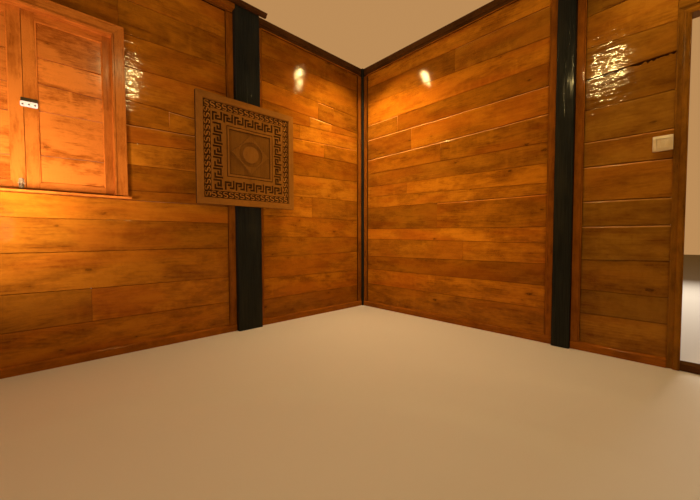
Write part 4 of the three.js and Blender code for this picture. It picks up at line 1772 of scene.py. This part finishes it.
class WALL_OT_stage(bpy.types.Operator):
    """Set up the floor, the lights and the camera"""
    bl_idname = "plank_wall.stage"
    bl_label = "Stage"

    def execute(self, context):
        settings = context.scene.wall_stage
        self.camera(settings)
        self.floor(settings)
        self.backdrop(settings)
        self.world(settings)
        self.lights(settings)
        context.scene.view_settings.view_transform = "Standard"
        return {"FINISHED"}

    def camera(self, settings):
        heading, pitch, roll = CAMERA_HEADING, CAMERA_PITCH, CAMERA_ROLL
        ahead = Vector((math.cos(heading), math.sin(heading), 0))
        forward = ahead * math.cos(pitch) + Vector((0, 0, math.sin(pitch)))
        level = Vector((math.sin(heading), -math.cos(heading), 0))
        upright = level.cross(forward)
        right = level * math.cos(roll) + upright * math.sin(roll)
        up = upright * math.cos(roll) - level * math.sin(roll)
        turn = Matrix((right, up, -forward)).transposed().to_4x4()
        data = bpy.data.cameras.new("camera")
        data.lens = settings.lens
        data.sensor_width = 36.0
        data.clip_start = 0.01
        camera = bpy.data.objects.new("camera", data)
        camera.matrix_world = Matrix.Translation(CAMERA_PLACE) @ turn
        bpy.context.scene.collection.objects.link(camera)
        bpy.context.scene.camera = camera

    def floor(self, settings):
        bpy.ops.object.select_all(action="DESELECT")
        bpy.ops.mesh.primitive_plane_add(size=40, location=(-2, -2, -0.0005))
        floor = bpy.context.object
        floor.name = "floor"
        g = Graph("pale_floor")
        place = g.add("TexCoord").outputs["Object"]
        cloud = g.cloud(place, (0.9, 0.9), 3.0)
        floor.data.materials.append(g.surface({
            "Base Color": g.mix(cloud, opaque(settings.floor), dimmed(settings.floor, 0.94)),
            "Roughness": 0.7,
            "Specular IOR Level": 0.2,
        }))

    def backdrop(self, settings):
        """A plain shell far around the wall, which the camera sees and the light passes."""
        bpy.ops.object.select_all(action="DESELECT")
        bpy.ops.mesh.primitive_uv_sphere_add(
            segments=48, ring_count=24, radius=45, location=(-2, -2, 0)
        )
        shell = bpy.context.object
        shell.name = "backdrop"
        g = Graph("pale_backdrop")
        finish = g.surface({
            "Base Color": (0, 0, 0, 1),
            "Specular IOR Level": 0.0,
            "Emission Color": opaque(settings.backdrop),
            "Emission Strength": 1.0,
        })
        finish.cycles.emission_sampling = "NONE"
        shell.data.materials.append(finish)
        shell.visible_diffuse = shell.visible_glossy = shell.visible_shadow = False

    def world(self, settings):
        world = bpy.data.worlds.new("studio")
        world.use_nodes = True
        background = world.node_tree.nodes["Background"]
        background.inputs["Color"].default_value = opaque(settings.surround)
        background.inputs["Strength"].default_value = settings.surround_strength
        world.cycles_visibility.glossy = False
        bpy.context.scene.world = world

    def lights(self, settings):
        warm, pink = (1, 0.78, 0.48), (1, 0.77, 0.84)
        amber, white = (1, 0.72, 0.38), (1, 0.95, 0.88)
        for name, place, aim, size, rgb, spread in (
            ("top_light", (-1.6, -1.6, 4.2), (-1.7, -1.6, 1.1), 1.8, warm, math.pi),
            ("front_light", (-3.3, -3.2, 1.7), (-0.8, -0.6, 1.3), 2.2, warm, math.pi),
            ("glow_light", (-2.88, -0.52, 0.84), (-2.80, 0.0, 1.25), 0.26, pink, math.pi),
            ("low_light", (-1.15, -1.15, 0.30), (-0.1, -0.45, 1.8), 1.0, warm, 2.0),
        ):
            self.light(name, place, aim, size, getattr(settings, name), rgb, spread=spread)
        for name, place, aim in (
            ("window_side_light", (-2.0, 4.0, 3.4), (-2.0, 0.1, 1.2)),
            ("door_side_light", (4.2, -1.8, 3.2), (0.1, -1.8, 1.2)),
        ):
            self.light(name, place, aim, 3.0, settings.outer_light, white)
        for name, place, aim, size, spread in (
            ("corner_spot", (-0.51, -0.50, 2.58), (-0.51, -0.50, 0.0), 0.20, 2.3),
            ("wall_spot", (-0.75, -1.35, 2.58), (-0.4, -1.35, 0.0), 0.30, 2.0),
            ("switch_spot", (-0.50, -2.45, 2.58), (-0.3, -2.45, 0.0), 0.08, 2.2),
        ):
            energy = getattr(settings, name)
            self.light(name, place, aim, size, energy, amber, "DISK", spread=spread)
        for name, place, size, share in (
            ("corner", (-0.53, -0.45, 2.56), 0.07, 0.30),
            ("corner_side", (-0.48, -0.51, 2.47), 0.06, 0.14),
            ("room", (-2.0, -1.77, 2.58), 0.08, 1.0),
            ("side", (-1.83, -1.95, 2.58), 0.08, 1.0),
        ):
            below = (place[0], place[1], 0.0)
            energy = settings.glint * share
            self.light(
                f"{name}_glint", place, below, size, energy, (1, 0.70, 0.24), "DISK", mirrored=True
            )

    def light(
        self, name, place, aim, size, energy, rgb, shape="SQUARE", mirrored=False, spread=math.pi
    ):
        """A light that the varnish mirrors, or else one that only lights the wood."""
        data = bpy.data.lights.new(name, "AREA")
        data.shape = shape
        data.size = size
        data.energy = energy
        data.color = rgb
        data.spread = spread
        light = bpy.data.objects.new(name, data)
        light.location = place
        light.rotation_euler = (Vector(aim) - Vector(place)).to_track_quat("-Z", "Y").to_euler()
        light.visible_camera = False
        light.visible_glossy = mirrored
        light.visible_diffuse = not mirrored
        bpy.context.scene.collection.objects.link(light)


OPERATORS = (
    WALL_OT_stage,
    WALL_OT_posts,
    WALL_OT_boards,
    WALL_OT_frames,
    WALL_OT_crown_moulding,
    WALL_OT_window_surround,
    WALL_OT_shutters,
    WALL_OT_shutter_fittings,
    WALL_OT_carved_panel,
    WALL_OT_doorway,
    WALL_OT_light_switch,
)
SETTINGS = {"wall_sizes": WallSizes, "wall_colours": WallColours, "wall_stage": StageSettings}


class WALL_PT_sidebar(bpy.types.Panel):
    """Lists the wall's settings and pieces"""
    bl_idname = "WALL_PT_sidebar"
    bl_label = "Plank wall"
    bl_space_type = "VIEW_3D"
    bl_region_type = "UI"
    bl_category = "Plank wall"

    def draw(self, context):
        for name, group in SETTINGS.items():
            column = self.layout.column()
            for setting in group.__annotations__:
                column.prop(getattr(context.scene, name), setting)
        for operator in OPERATORS:
            self.layout.operator(operator.bl_idname)


def register():
    for group in (*SETTINGS.values(), *OPERATORS, WALL_PT_sidebar):
        bpy.utils.register_class(group)
    for name, group in SETTINGS.items():
        setattr(bpy.types.Scene, name, PointerProperty(type=group))


def unregister():
    for name in SETTINGS:
        delattr(bpy.types.Scene, name)
    for group in reversed((*SETTINGS.values(), *OPERATORS, WALL_PT_sidebar)):
        bpy.utils.unregister_class(group)


def main():
    register()
    for operator in OPERATORS:
        group, name = operator.bl_idname.split(".")
        getattr(getattr(bpy.ops, group), name)()


if __name__ == "__main__":
    main()
